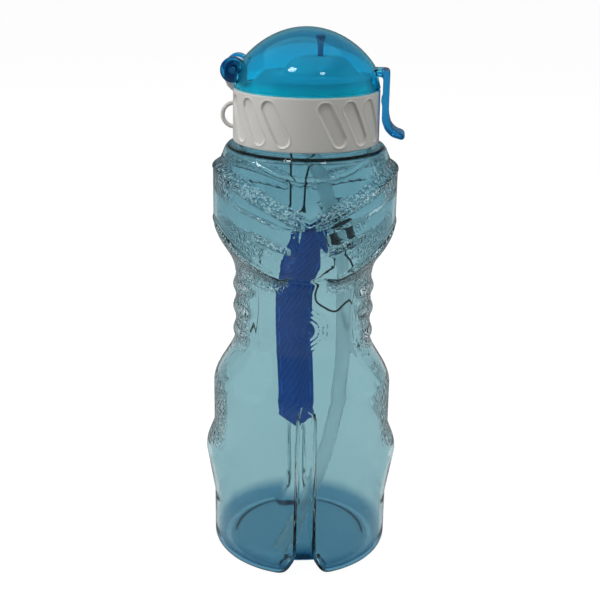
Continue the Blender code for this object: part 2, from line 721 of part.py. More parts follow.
def screw_cap(lid_frame):
    """The white screw lid, one moulding."""
    lid = turned_solid(lid_profile(), "screw_cap", LID_SEGMENTS)
    combine(lid, swing_room(0.0), "DIFFERENCE")
    combine(lid, drum_hollow(), "DIFFERENCE")
    combine(lid, straw_socket(), "UNION")
    combine(lid, spout(), "UNION")
    combine(lid, socket_bore(), "DIFFERENCE")
    combine(lid, mouth_hole(), "DIFFERENCE")
    combine(lid, hinge_lug(), "UNION")
    combine(lid, eyelet(), "UNION")
    for middle in SLOT_GROUPS:
        for index in range(SLOTS_IN_GROUP):
            turn = math.radians(middle) + SLOT_PITCH * (index - 0.5 * (SLOTS_IN_GROUP - 1))
            combine(lid, grip_slot(turn), "DIFFERENCE")
    root = LID_INNER_RADIUS + 0.2 * LID_WALL  # above the floors of the slots
    crest = LID_INNER_RADIUS - THREAD_DEPTH
    ridge = thread_ridge(root, crest, THREAD_START - 0.5 * THREAD_PITCH, "ridge")
    ridge.data.transform(Matrix.Rotation(-LID_TURN, 4, "Z"))
    combine(lid, ridge, "UNION")
    finish(lid, plastic("white_plastic", (0.78, 0.77, 0.74), 0.4), lid_frame)


def cap_gasket(lid_frame):
    """The soft ring that the lid presses on the neck's rim."""
    bottom = NECK_TOP + GAP
    top = bottom + GASKET_THICKNESS
    inner = NECK_RADIUS - WALL
    outer = LID_INNER_RADIUS - GAP
    profile = [(inner, bottom), (outer, bottom), (outer, top), (inner, top)]
    gasket = turned(profile, "cap_gasket", LID_SEGMENTS)
    finish(gasket, plastic("soft_seal", (0.62, 0.62, 0.60), 0.6), lid_frame)


# ----------------------------------------------------------------- dome cover


def dome_profile(radius, top, bottom):
    """A quarter section: a short drafted rim, then a shallow dome up to the axis."""
    spring = bottom + DOME_RIM_HEIGHT
    crown = radius - DOME_DRAFT
    points = [(radius, bottom), (crown, spring)]
    for index in range(1, DOME_RINGS):
        angle = 0.5 * math.pi * index / DOME_RINGS
        points.append((crown * math.cos(angle), mix(spring, top, math.sin(angle) ** DOME_POINT)))
    return points + [(0.0, top)]


def cavity_height(across):
    """Height of the dome's inner surface at a distance from the axis."""
    top, spring = DOME_TOP - DOME_WALL, DOME_BOTTOM + DOME_RIM_HEIGHT
    crown = DOME_INNER_RADIUS - DOME_DRAFT
    return mix(spring, top, (1.0 - (across / crown) ** 2) ** (0.5 * DOME_POINT))


def knuckle(side):
    """One of the cover's two hinge discs."""
    near = (HINGE_X, side * KNUCKLE_INNER, HINGE_Z)
    far = (HINGE_X, side * (KNUCKLE_INNER + KNUCKLE_THICKNESS), HINGE_Z)
    return rod(KNUCKLE_RADIUS, near, far, "knuckle", 24)


def latch():
    """The lever that hangs from the cover opposite the hinge and hooks the lid."""
    root = LID_RADIUS - LATCH_ROOT
    inner = LID_RADIUS + LATCH_GAP
    outer = inner + LATCH_THICKNESS
    tip = inner + LATCH_TAIL
    crown = LID_LEDGE + LATCH_RISE
    knee_height = LID_LEDGE - LATCH_DROP
    tail = LID_BOTTOM + LATCH_TAIL_RISE
    hook = LID_LEDGE - HOOK_DROP
    outline = [(root, crown - LATCH_THICKNESS), (inner, crown - LATCH_THICKNESS)]
    outline += [(inner, hook + MM), (LID_RADIUS + GAP, hook), (inner, hook - 2.0 * MM)]
    outline += [(inner, knee_height), (inner + 1.3 * MM, knee_height - 3.6 * MM)]
    outline += [(inner + 4.0 * MM, tail), (tip - MM, tail - 1.4 * MM)]
    outline += [(tip, tail), (tip - MM, tail + 1.2 * MM)]
    outline += [(outer + 2.6 * MM, tail + 2.6 * MM), (outer + 0.7 * MM, knee_height - MM)]
    outline += [(outer, knee_height + 3.0 * MM), (outer, crown - MM), (outer - MM, crown)]
    outline += [(root, crown)]
    return extruded(outline, -0.5 * LATCH_WIDTH, 0.5 * LATCH_WIDTH, "latch")


def dome_cover(pivot):
    """The clear blue cover: dome, two knuckles and the latch lever, one moulding."""
    outer = dome_profile(LID_RADIUS, DOME_TOP, DOME_BOTTOM)
    inner = dome_profile(DOME_INNER_RADIUS, DOME_TOP - DOME_WALL, DOME_BOTTOM)
    dome = turned_solid(outer[::-1] + [(0.0, DOME_BOTTOM)], "dome_cover", DOME_SEGMENTS)
    inner[0] = (inner[0][0], DOME_BOTTOM - OVERLAP)
    hollow_profile = inner[::-1] + [(0.0, DOME_BOTTOM - OVERLAP)]
    hollow = turned_solid(hollow_profile, "hollow", DOME_SEGMENTS)
    for side in (-1, 1):
        combine(dome, knuckle(side), "UNION")
    combine(dome, latch(), "UNION")
    combine(dome, hollow, "DIFFERENCE")
    half = KNUCKLE_INNER
    reach = HINGE_X - 2.0 * LUG_RADIUS
    inside = HINGE_X + SWING_RADIUS
    ceiling = HINGE_Z + LUG_RADIUS + SWING_GAP
    opening = [(reach, DOME_BOTTOM - OVERLAP), (inside, DOME_BOTTOM - OVERLAP)]
    opening += [(inside, ceiling), (reach, ceiling)]
    combine(dome, extruded(opening, -half, half, "lug_room"), "DIFFERENCE")
    end = PIN_LENGTH
    hole = rod(PIN_BORE, (HINGE_X, -end, HINGE_Z), (HINGE_X, end, HINGE_Z), "hole")
    combine(dome, hole, "DIFFERENCE")
    finish(dome, plastic("clear_blue", (0.02, 0.38, 0.62), 0.08), pivot)


def hinge_pin(pivot):
    """The pin through the knuckles and the lug."""
    half = 0.5 * PIN_LENGTH
    pin = rod(PIN_RADIUS, (HINGE_X, -half, HINGE_Z), (HINGE_X, half, HINGE_Z), "hinge_pin", 12)
    finish(pin, plastic("pin_blue", (0.02, 0.22, 0.42), 0.3), pivot)


def stopper_pin(pivot):
    """The peg under the dome that closes the mouth hole, with a flared head."""
    head = cavity_height(MOUTH_OFFSET + STOPPER_HEAD) - 2.0 * GAP
    tip = SPOUT_TOP - STOPPER_DIP
    profile = [(0.0, head), (STOPPER_HEAD, head), (STOPPER_HEAD, head - 0.6 * MM)]
    profile += [(STOPPER_RADIUS, head - 3.4 * MM), (STOPPER_RADIUS, tip + 0.6 * MM)]
    profile += [(0.6 * STOPPER_RADIUS, tip), (0.0, tip)]
    peg = turned_solid(profile, "stopper_pin", 16)
    peg.data.transform(Matrix.Translation((MOUTH_OFFSET, 0.0, 0.0)))
    finish(peg, plastic("deep_blue", (0.03, 0.12, 0.35), 0.3), pivot)


# ------------------------------------------------------ straw, strap and cords


def straw():
    """The bent drinking tube, from the lid's socket to the foot of the bottle."""
    top = (NECK_TOP - STRAW_TOP_DROP) / MM
    straight = ((0.0, 0.0, top), (0.0, 0.0, top - STRAW_STRAIGHT / MM))
    line = smooth_route(straight + STRAW_ROUTE, 2)
    outer, inner = [], []
    side = Vector((0.0, 1.0, 0.0))
    for index, point in enumerate(line):
        ahead = line[min(index + 1, len(line) - 1)] - line[max(index - 1, 0)]
        ahead.normalize()
        side = (side - ahead * side.dot(ahead)).normalized()
        across = ahead.cross(side)
        for ring_list, radius in ((outer, STRAW_RADIUS), (inner, STRAW_RADIUS - STRAW_WALL)):
            turns = (math.tau * n / STRAW_SIDES for n in range(STRAW_SIDES))
            ring = [point + radius * (side * math.cos(t) + across * math.sin(t)) for t in turns]
            ring_list.append(ring)
    builder = bmesh.new()
    loops = [[builder.verts.new(p) for p in ring] for ring in outer + inner[::-1]]
    for lower, upper in zip(loops, loops[1:] + loops[:1]):
        for index in range(STRAW_SIDES):
            following = (index + 1) % STRAW_SIDES
            builder.faces.new((lower[index], lower[following], upper[following], upper[index]))
    tube = object_from(builder, "straw")
    finish(tube, plastic("frosted_tube", (0.70, 0.78, 0.78), 0.45))


def strap_webbing():
    """The folded webbing as one soft bundle, in its packed outline."""
    outline = [(x * MM, z * MM) for x, z in STRAP_OUTLINE]
    bundle = extruded(outline, STRAP_FRONT, STRAP_BACK, "strap_webbing")
    finish(bundle, plastic("blue_webbing", (0.01, 0.07, 0.30), 0.85))


def strap_buckle():
    """The slide buckle at the strap's end, a plate with one slot."""
    size = Vector(BUCKLE_SIZE) * MM
    half_x, half_z = 0.5 * size.x, 0.5 * size.z
    corner = 0.25 * size.x
    outline = [(half_x, corner - half_z), (half_x, half_z - corner), (half_x - corner, half_z)]
    outline += [(corner - half_x, half_z), (-half_x, half_z - corner), (-half_x, corner - half_z)]
    outline += [(corner - half_x, -half_z), (half_x - corner, -half_z)]
    plate = extruded(outline, -0.5 * size.y, 0.5 * size.y, "strap_buckle")
    slot_x, slot_z = (0.5 * value * MM for value in BUCKLE_SLOT)
    slot = [(slot_x, -slot_z), (slot_x, slot_z), (-slot_x, slot_z), (-slot_x, -slot_z)]
    combine(plate, extruded(slot, -size.y, size.y, "slot"), "DIFFERENCE")
    place = Matrix.Translation(Vector(BUCKLE_CENTRE) * MM)
    plate.data.transform(place @ Matrix.Rotation(BUCKLE_TILT, 4, "Z"))
    finish(plate, plastic("black_plastic", (0.02, 0.02, 0.02), 0.4))


def cord(route, name):
    """A thin round cord along a smooth line, with filled ends."""
    curve = bpy.data.curves.new(name, "CURVE")
    curve.dimensions = "3D"
    curve.bevel_depth = CORD_RADIUS
    curve.bevel_resolution = 2
    curve.use_fill_caps = True
    spline = curve.splines.new("POLY")
    line = smooth_route(route, 3)
    spline.points.add(len(line) - 1)
    for knot, point in zip(spline.points, line):
        knot.co = (*point, 1.0)
    curve.materials.append(plastic(name + "_black", (0.012, 0.012, 0.014), 0.7))
    obj = bpy.data.objects.new(name, curve)
    bpy.context.scene.collection.objects.link(obj)


def empty(name, location, parent=None):
    """A plain axes empty that carries the pieces of one moving body."""
    obj = bpy.data.objects.new(name, None)
    obj.location = location
    obj.parent = parent
    bpy.context.scene.collection.objects.link(obj)
    return obj


def main():
    """Builds every piece in the bottle's frame."""
    clear_scene()
    lid_frame = empty("lid_frame", (0.0, 0.0, 0.0))
    lid_frame.rotation_euler.z = LID_TURN
    pivot = empty("dome_pivot", (HINGE_X, 0.0, HINGE_Z), lid_frame)
    bottle_body()
    straw()
    screw_cap(lid_frame)
    cap_gasket(lid_frame)
    hinge_pin(lid_frame)
    dome_cover(pivot)
    stopper_pin(pivot)
    strap_webbing()
    strap_buckle()
    cord(HANGING_CORD_ROUTE, "strap_cord_hanging")
    cord(TRAILING_CORD_ROUTE, "strap_cord_trailing")
    bpy.context.view_layer.update()


main()
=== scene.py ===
"""Sports squeeze bottle: a waisted clear shell, a white screw lid, a clear blue dome cover, a straw
and a packed carry strap with its cords and slide buckle.

Lengths are in metres once a mesh is made; sizes in the classes are in millimetres. +Z is up and -Y
is the front. Azimuths turn from the front towards +X.
"""

import logging
import math
from dataclasses import dataclass
from enum import Enum
from typing import Any, Callable

import bpy
import numpy as np
from mathutils import Matrix, Vector


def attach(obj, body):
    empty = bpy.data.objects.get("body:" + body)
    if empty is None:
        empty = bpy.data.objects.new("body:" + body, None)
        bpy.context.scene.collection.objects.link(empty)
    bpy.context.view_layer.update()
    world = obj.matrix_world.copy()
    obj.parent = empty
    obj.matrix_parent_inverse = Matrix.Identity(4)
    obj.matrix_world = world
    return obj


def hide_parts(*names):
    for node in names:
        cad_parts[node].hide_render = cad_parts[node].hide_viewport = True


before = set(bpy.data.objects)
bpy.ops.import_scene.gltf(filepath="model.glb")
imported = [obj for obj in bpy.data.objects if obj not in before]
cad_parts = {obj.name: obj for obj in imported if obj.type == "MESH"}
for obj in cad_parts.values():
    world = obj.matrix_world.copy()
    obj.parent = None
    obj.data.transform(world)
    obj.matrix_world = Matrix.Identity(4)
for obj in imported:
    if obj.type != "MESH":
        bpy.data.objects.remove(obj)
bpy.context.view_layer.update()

MM = 0.001
LID_TURN = math.radians(-8.0)
STRAW_ROUTE = (
    (0.0, 0.0, 190.0), (0.0, 0.0, 181.0), (3.4, 1.5, 168.0), (10.0, 3.5, 149.0),
    (15.9, 4.5, 122.0), (17.1, 1.0, 97.0), (15.3, -6.0, 72.0), (10.5, -12.5, 50.0),
    (3.6, -17.3, 31.0), (-3.9, -20.2, 15.0), (-9.6, -22.4, 5.6),
)
HANGING_CORD_ROUTE = (
    (-5.8, -9.8, 142.5), (-6.1, -9.6, 150.0), (-6.1, -8.2, 160.0), (-5.9, -5.0, 172.0),
    (-5.8, -1.5, 180.0), (-4.3, 3.8, 182.0), (0.0, 5.8, 182.2), (4.3, 3.9, 182.0),
    (5.4, -0.5, 180.5), (3.0, -5.2, 172.5), (0.0, -7.8, 162.0), (-0.8, -9.6, 152.0),
    (-1.0, -9.8, 146.7),
)
TRAILING_CORD_ROUTE = (
    (11.8, -12.4, 133.5), (9.6, -14.0, 126.5), (4.9, -15.4, 122.0), (4.0, -15.0, 114.5),
    (7.6, -13.8, 110.6), (12.0, -12.8, 108.6), (15.6, -12.0, 111.5), (19.5, -11.0, 115.5),
    (20.0, -10.6, 122.0), (17.9, -11.2, 129.0), (14.4, -12.2, 133.0),
)

log = logging.getLogger("bottle")
Profile = list[tuple[float, float]]


class Body(Enum):
    """The moving bodies that a piece can ride on."""

    BOTTLE = "bottle"
    CARRIER = "lid_carrier"
    LID = "lid"
    COVER = "cover"


class Cut(Enum):
    """How one solid is combined with another."""

    JOIN = "UNION"
    REMOVE = "DIFFERENCE"


# ------------------------------------------------------------------ modelling


def deselect() -> None:
    """Leaves edit mode and deselects everything."""
    if bpy.context.object is not None and bpy.context.object.mode != "OBJECT":
        bpy.ops.object.mode_set(mode="OBJECT")
    bpy.ops.object.select_all(action="DESELECT")


def activate(piece: bpy.types.Object) -> None:
    """Makes one piece the only selected and the active one."""
    deselect()
    piece.select_set(True)
    bpy.context.view_layer.objects.active = piece


def named(name: str) -> bpy.types.Object:
    """Names the piece that was just added, and returns it."""
    piece = bpy.context.object
    piece.name = name
    piece.data.name = name
    return piece


def bake_place(piece: bpy.types.Object) -> None:
    """Puts a piece's place, turn and scale into its mesh."""
    activate(piece)
    bpy.ops.object.transform_apply(location=True, rotation=True, scale=True)


def weld(piece: bpy.types.Object, angle: float = 40.0, reach: float = 0.002) -> None:
    """Closes seams and poles, faces the surface outwards and smooths it.

    Args:
        piece: The piece to tidy.
        angle: Edges sharper than this many degrees stay sharp.
        reach: Points closer than this, in millimetres, become one.
    """
    activate(piece)
    bpy.ops.object.mode_set(mode="EDIT")
    bpy.ops.mesh.select_all(action="SELECT")
    bpy.ops.mesh.remove_doubles(threshold=reach * MM)
    bpy.ops.mesh.normals_make_consistent(inside=False)
    bpy.ops.object.mode_set(mode="OBJECT")
    bpy.ops.object.shade_smooth_by_angle(angle=math.radians(angle))


def apply_modifiers(piece: bpy.types.Object) -> None:
    """Applies every modifier of a piece in order."""
    activate(piece)
    for modifier in list(piece.modifiers):
        bpy.ops.object.modifier_apply(modifier=modifier.name)


def combine(piece: bpy.types.Object, tool: bpy.types.Object, cut: Cut) -> None:
    """Joins a tool to a piece or cuts it out, and removes the tool."""
    modifier = piece.modifiers.new("combine", "BOOLEAN")
    modifier.operation = cut.value
    modifier.solver = "EXACT"
    modifier.object = tool
    apply_modifiers(piece)
    bpy.data.objects.remove(tool, do_unlink=True)


def soften(piece: bpy.types.Object, width: float, segments: int = 3) -> None:
    """Rounds a piece's sharp edges.

    Args:
        piece: The piece to round.
        width: The rounding's width, in millimetres.
        segments: Faces across the rounding.
    """
    modifier = piece.modifiers.new("soften", "BEVEL")
    modifier.width = width * MM
    modifier.segments = segments
    modifier.limit_method = "ANGLE"
    modifier.angle_limit = math.radians(30.0)
    apply_modifiers(piece)


def wrapped(name: str, table: np.ndarray, **marks: np.ndarray) -> bpy.types.Object:
    """Lays a flat grid over a surface.

    Args:
        name: The piece's name.
        table: Points in millimetres, one row of columns after the other.
        marks: Values from 0 to 1 at the same points, kept as attributes.

    Returns:
        The closed and smoothed piece.
    """
    rows, columns = table.shape[0] - 1, table.shape[1] - 1
    deselect()
    bpy.ops.mesh.primitive_grid_add(x_subdivisions=columns, y_subdivisions=rows, size=1.0)
    piece = named(name)
    flat = np.empty(3 * len(piece.data.vertices))
    piece.data.vertices.foreach_get("co", flat)
    place = flat.reshape(-1, 3) + 0.5
    column = np.rint(place[:, 0] * columns).astype(int)
    row = np.rint(place[:, 1] * rows).astype(int)
    piece.data.vertices.foreach_set("co", (table[row, column] * MM).ravel())
    for mark, values in marks.items():
        attribute = piece.data.attributes.new(mark, "FLOAT", "POINT")
        attribute.data.foreach_set("value", values[row, column].astype(np.float32))
    weld(piece)
    return piece


def chain(name: str, points: Profile) -> bpy.types.Object:
    """Extrudes one point along an (x, z) outline in millimetres, and stays in edit mode.

    Args:
        name: The new object's name.
        points: The outline.

    Returns:
        The object, in edit mode.
    """
    deselect()
    bpy.ops.mesh.primitive_plane_add(size=MM)
    piece = named(name)
    bpy.ops.object.mode_set(mode="EDIT")
    bpy.ops.mesh.select_all(action="SELECT")
    bpy.ops.mesh.merge(type="CENTER")
    bpy.ops.transform.translate(value=(points[0][0] * MM, 0.0, points[0][1] * MM))
    for (x, z), (next_x, next_z) in zip(points, points[1:]):
        step = ((next_x - x) * MM, 0.0, (next_z - z) * MM)
        bpy.ops.mesh.extrude_region_move(TRANSFORM_OT_translate={"value": step})
    bpy.ops.mesh.select_all(action="SELECT")
    return piece


def spun(name: str, profile: Profile, steps: int = 96) -> bpy.types.Object:
    """Turns an (x, z) profile in millimetres about the Z axis into a closed solid."""
    piece = chain(name, profile)
    bpy.ops.mesh.spin(steps=steps, angle=math.tau, center=(0.0, 0.0, 0.0), axis=(0.0, 0.0, 1.0))
    weld(piece)
    return piece


def plate(name: str, outline: Profile, low: float, high: float, edge: float) -> bpy.types.Object:
    """A bar with an (x, z) outline, run along Y.

    Args:
        name: The piece's name.
        outline: The outline's points, in millimetres.
        low: Where the bar starts on Y, in millimetres.
        high: Where it ends.
        edge: The width of its rounded edges.

    Returns:
        The rounded bar.
    """
    piece = chain(name, outline)
    bpy.ops.transform.translate(value=(0.0, low * MM, 0.0))
    bpy.ops.mesh.edge_face_add()
    run = {"value": (0.0, (high - low) * MM, 0.0)}
    bpy.ops.mesh.extrude_region_move(TRANSFORM_OT_translate=run)
    weld(piece)
    if edge > 0.0:
        soften(piece, edge)
        weld(piece)
    return piece


def drum(name: str, radius: float, start: Vector, end: Vector, edge: float) -> bpy.types.Object:
    """A round bar between two points, in millimetres, with rounded rims.

    Args:
        name: The new object's name.
        radius: The bar's radius.
        start: The middle of one end.
        end: The middle of the other.
        edge: How far its rims are rounded.

    Returns:
        The bar.
    """
    run = end - start
    deselect()
    bpy.ops.mesh.primitive_cylinder_add(vertices=64, radius=radius * MM, depth=run.length * MM)
    piece = named(name)
    turn = Vector((0.0, 0.0, 1.0)).rotation_difference(run).to_matrix().to_4x4()
    piece.data.transform(Matrix.Translation((start + end) * 0.5 * MM) @ turn)
    if edge > 0.0:
        soften(piece, edge)
    weld(piece)
    return piece


def rounded(points: Profile, reach: float, steps: int = 4) -> Profile:
    """Rounds an open outline's inner corners.

    Args:
        points: The outline, in millimetres.
        reach: How far before and after a corner its rounding starts and ends.
        steps: Points on each rounding.

    Returns:
        The outline with an arc in place of each corner.
    """
    line = [Vector(point) for point in points]
    result = [tuple(line[0])]
    for before, corner, after in zip(line, line[1:], line[2:]):
        back, ahead = before - corner, after - corner
        start = corner + back.normalized() * min(reach, 0.45 * back.length)
        end = corner + ahead.normalized() * min(reach, 0.45 * ahead.length)
        for step in range(steps + 1):
            t = step / steps
            result.append(tuple(start * (1 - t) ** 2 + corner * 2 * t * (1 - t) + end * t**2))
    return result + [tuple(line[-1])]


def smooth_route(points: tuple, per_span: int) -> np.ndarray:
    """A smooth line through a route's points, in millimetres.

    Args:
        points: The route, in millimetres.
        per_span: Steps between two of its points.

    Returns:
        The line's points, a row each.
    """
    ends = [points[0], *points, points[-1]]
    line = []
    for before, start, stop, after in zip(ends, ends[1:], ends[2:], ends[3:]):
        a, b, c, d = (np.array(p) for p in (before, start, stop, after))
        for step in range(per_span):
            t = step / per_span
            bend = (2.0 * a - 5.0 * b + 4.0 * c - d) * t**2
            line.append(0.5 * (2.0 * b + (c - a) * t + bend + (3.0 * b - a - 3.0 * c + d) * t**3))
    line.append(np.array(points[-1]))
    return np.array(line)


def ease(value: Any) -> Any:
    """Eases from 0 to 1 as a value or an array goes from 0 to 1."""
    value = np.clip(value, 0.0, 1.0)
    return value * value * (3.0 - 2.0 * value)


def mix(start: Any, end: Any, share: Any) -> Any:
    """The value a share of the way from start to end."""
    return start + (end - start) * share


def ridge(distance: Any, half: float) -> Any:
    """1 on a line and 0 past half a width from it, rounded between."""
    return np.cos(0.5 * math.pi * np.clip(np.abs(distance) / half, 0.0, 1.0)) ** 2


def edge_at(distance: Any, width: float) -> Any:
    """1 inside an outline, 0 outside, eased over a width across it."""
    return ease(0.5 - distance / width)


# ------------------------------------------------------------------ materials


class Tree:
    """A short way to add and join the nodes of a material or a group."""

    def __init__(self, tree: bpy.types.NodeTree) -> None:
        """Keeps the tree that the nodes go into."""
        self.tree = tree

    def add(self, kind: str, inputs: dict | None = None, **settings: Any) -> bpy.types.Node:
        """Adds a node.

        Args:
            kind: The node's type name, without "ShaderNode".
            inputs: Values or sockets for its inputs, by name or number.
            settings: The node's own properties.

        Returns:
            The node.
        """
        node = self.tree.nodes.new(kind if kind.startswith("Node") else "ShaderNode" + kind)
        for key, value in settings.items():
            setattr(node, key, value)
        for key, value in (inputs or {}).items():
            if isinstance(value, bpy.types.NodeSocket):
                self.tree.links.new(value, node.inputs[key])
            else:
                node.inputs[key].default_value = value
        return node

    def math(self, operation: str, *values: Any) -> bpy.types.NodeSocket:
        """A Math node's output."""
        return self.add("Math", dict(enumerate(values)), operation=operation).outputs[0]

    def blend(self, share: Any, low: Any, high: Any) -> bpy.types.NodeSocket:
        """A colour between two colours."""
        inputs = {0: share, 6: low, 7: high}
        return self.add("Mix", inputs, data_type="RGBA").outputs[2]


def group(name: str, inputs: dict, outputs: dict, fill: Callable) -> bpy.types.NodeTree:
    """Makes a shader node group once, and returns it each time it is asked for.

    Args:
        name: The group's name.
        inputs: Each input's socket type and default value, by name.
        outputs: Each output's socket type, by name.
        fill: Gets the tree and the group's input node, and returns a socket for each output.

    Returns:
        The group's node tree.
    """
    if name in bpy.data.node_groups:
        return bpy.data.node_groups[name]
    tree = bpy.data.node_groups.new(name, "ShaderNodeTree")
    for key, (kind, value) in inputs.items():
        socket = tree.interface.new_socket(key, in_out="INPUT", socket_type="NodeSocket" + kind)
        if value is not None:
            socket.default_value = value
    for key, kind in outputs.items():
        tree.interface.new_socket(key, in_out="OUTPUT", socket_type="NodeSocket" + kind)
    build = Tree(tree)
    source = build.add("NodeGroupInput")
    results = fill(build, source.outputs)
    build.add("NodeGroupOutput", results)
    return tree


def moulding() -> bpy.types.NodeTree:
    """Fine moulded grain and faint handling marks: a height and a roughness."""

    def fill(build: Tree, source: Any) -> dict:
        """Adds the group's nodes.

        Args:
            build: The group's node tree.
            source: Its named inputs.

        Returns:
            What each output is fed from.
        """
        grain = build.add("TexNoise", {"Vector": source["Vector"], "Scale": source["Grain"]})
        marks = build.add(
            "TexNoise",
            {"Vector": source["Vector"], "Scale": source["Marks"], "Detail": 5.0, "Distortion": 0.6},
        )
        worn = build.math("MULTIPLY_ADD", marks.outputs[0], 0.22, -0.11)
        rough = build.math("MULTIPLY_ADD", grain.outputs[0], 0.06, source["Roughness"])
        return {"Height": grain.outputs[0], "Roughness": build.math("ADD", rough, worn)}

    inputs = {
        "Vector": ("Vector", None),
        "Grain": ("Float", 1500.0),
        "Marks": ("Float", 90.0),
        "Roughness": ("Float", 0.3),
    }
    return group("moulding", inputs, {"Height": "Float", "Roughness": "Float"}, fill)


def depth_tint() -> bpy.types.NodeTree:
    """A clear plastic's tint, another at its foot and another above, and a little uneven; the foot and
    upper colours carry painted light and shade.
    """

    def fill(build: Tree, source: Any) -> dict:
        """Adds the group's nodes.

        Args:
            build: The group's node tree.
            source: Its named inputs.

        Returns:
            What each output is fed from.
        """
        parts = build.add("SeparateXYZ", {0: source["Vector"]})
        # The foot and upper colours paint light and shade on the bottle and the cover.
        foot = build.add(
            "MapRange",
            {"Value": parts.outputs[2], 1: source["Foot"], 2: source["Clear"], 3: 1.0, 4: 0.0},
            interpolation_type="SMOOTHSTEP",
        )
        cloud = build.add("TexNoise", {"Vector": source["Vector"], "Scale": 28.0, "Detail": 2.0})
        share = build.math("MULTIPLY_ADD", cloud.outputs[0], 0.16, foot.outputs[0])
        share = build.math("SUBTRACT", share, 0.05)
        climb = build.add(
            "MapRange",
            {"Value": parts.outputs[2], 1: source["Low"], 2: source["High"], 3: 0.0, 4: 1.0},
            interpolation_type="SMOOTHSTEP",
        )
        tint = build.blend(climb.outputs[0], source["Tint"], source["Upper"])
        return {"Color": build.blend(share, tint, source["Foot Tone"])}

    inputs = {
        "Vector": ("Vector", None),
        "Tint": ("Color", None),
        "Upper": ("Color", None),
        "Foot Tone": ("Color", None),
        "Foot": ("Float", 0.0),
        "Clear": ("Float", 0.01),
        "Low": ("Float", 0.0),
        "High": ("Float", 1.0),
    }
    return group("depth_tint", inputs, {"Color": "Color"}, fill)


def weave() -> bpy.types.NodeTree:
    """Crossing threads: a shade between 0 and 1 and a height."""

    def fill(build: Tree, source: Any) -> dict:
        """Adds the group's nodes.

        Args:
            build: The group's node tree.
            source: Its named inputs.

        Returns:
            What each output is fed from.
        """
        parts = build.add("SeparateXYZ", {0: source["Vector"]})
        across = build.math("MULTIPLY", parts.outputs[0], source["Across"])
        along = build.math("MULTIPLY", parts.outputs[1], source["Along"])
        slant = build.math("ADD", across, build.math("MULTIPLY", along, 0.5))
        warp = build.math("ABSOLUTE", build.math("SINE", across))
        weft = build.math("ABSOLUTE", build.math("SINE", along))
        twill = build.math("MULTIPLY_ADD", build.math("SINE", slant), 0.5, 0.5)
        height = build.math("MULTIPLY", build.math("MAXIMUM", warp, weft), twill)
        fuzz = build.add("TexNoise", {"Vector": source["Vector"], "Scale": 60.0, "Detail": 3.0})
        half_height = build.math("MULTIPLY", height, 0.5)
        shade = build.math("MULTIPLY_ADD", fuzz.outputs[0], 0.5, half_height)
        return {"Shade": shade, "Height": height}

    inputs = {"Vector": ("Vector", None), "Across": ("Float", 40.0), "Along": ("Float", 400.0)}
    return group("weave", inputs, {"Shade": "Float", "Height": "Float"}, fill)


def new_material(name: str) -> tuple[bpy.types.Material, Tree, bpy.types.Node]:
    """An empty material, its tree and its Principled shader."""
    material = bpy.data.materials.new(name)
    material.use_nodes = True
    build = Tree(material.node_tree)
    return material, build, material.node_tree.nodes["Principled BSDF"]


def place(build: Tree) -> bpy.types.NodeSocket:
    """The Object coordinates' output."""
    return build.add("TexCoord").outputs["Object"]


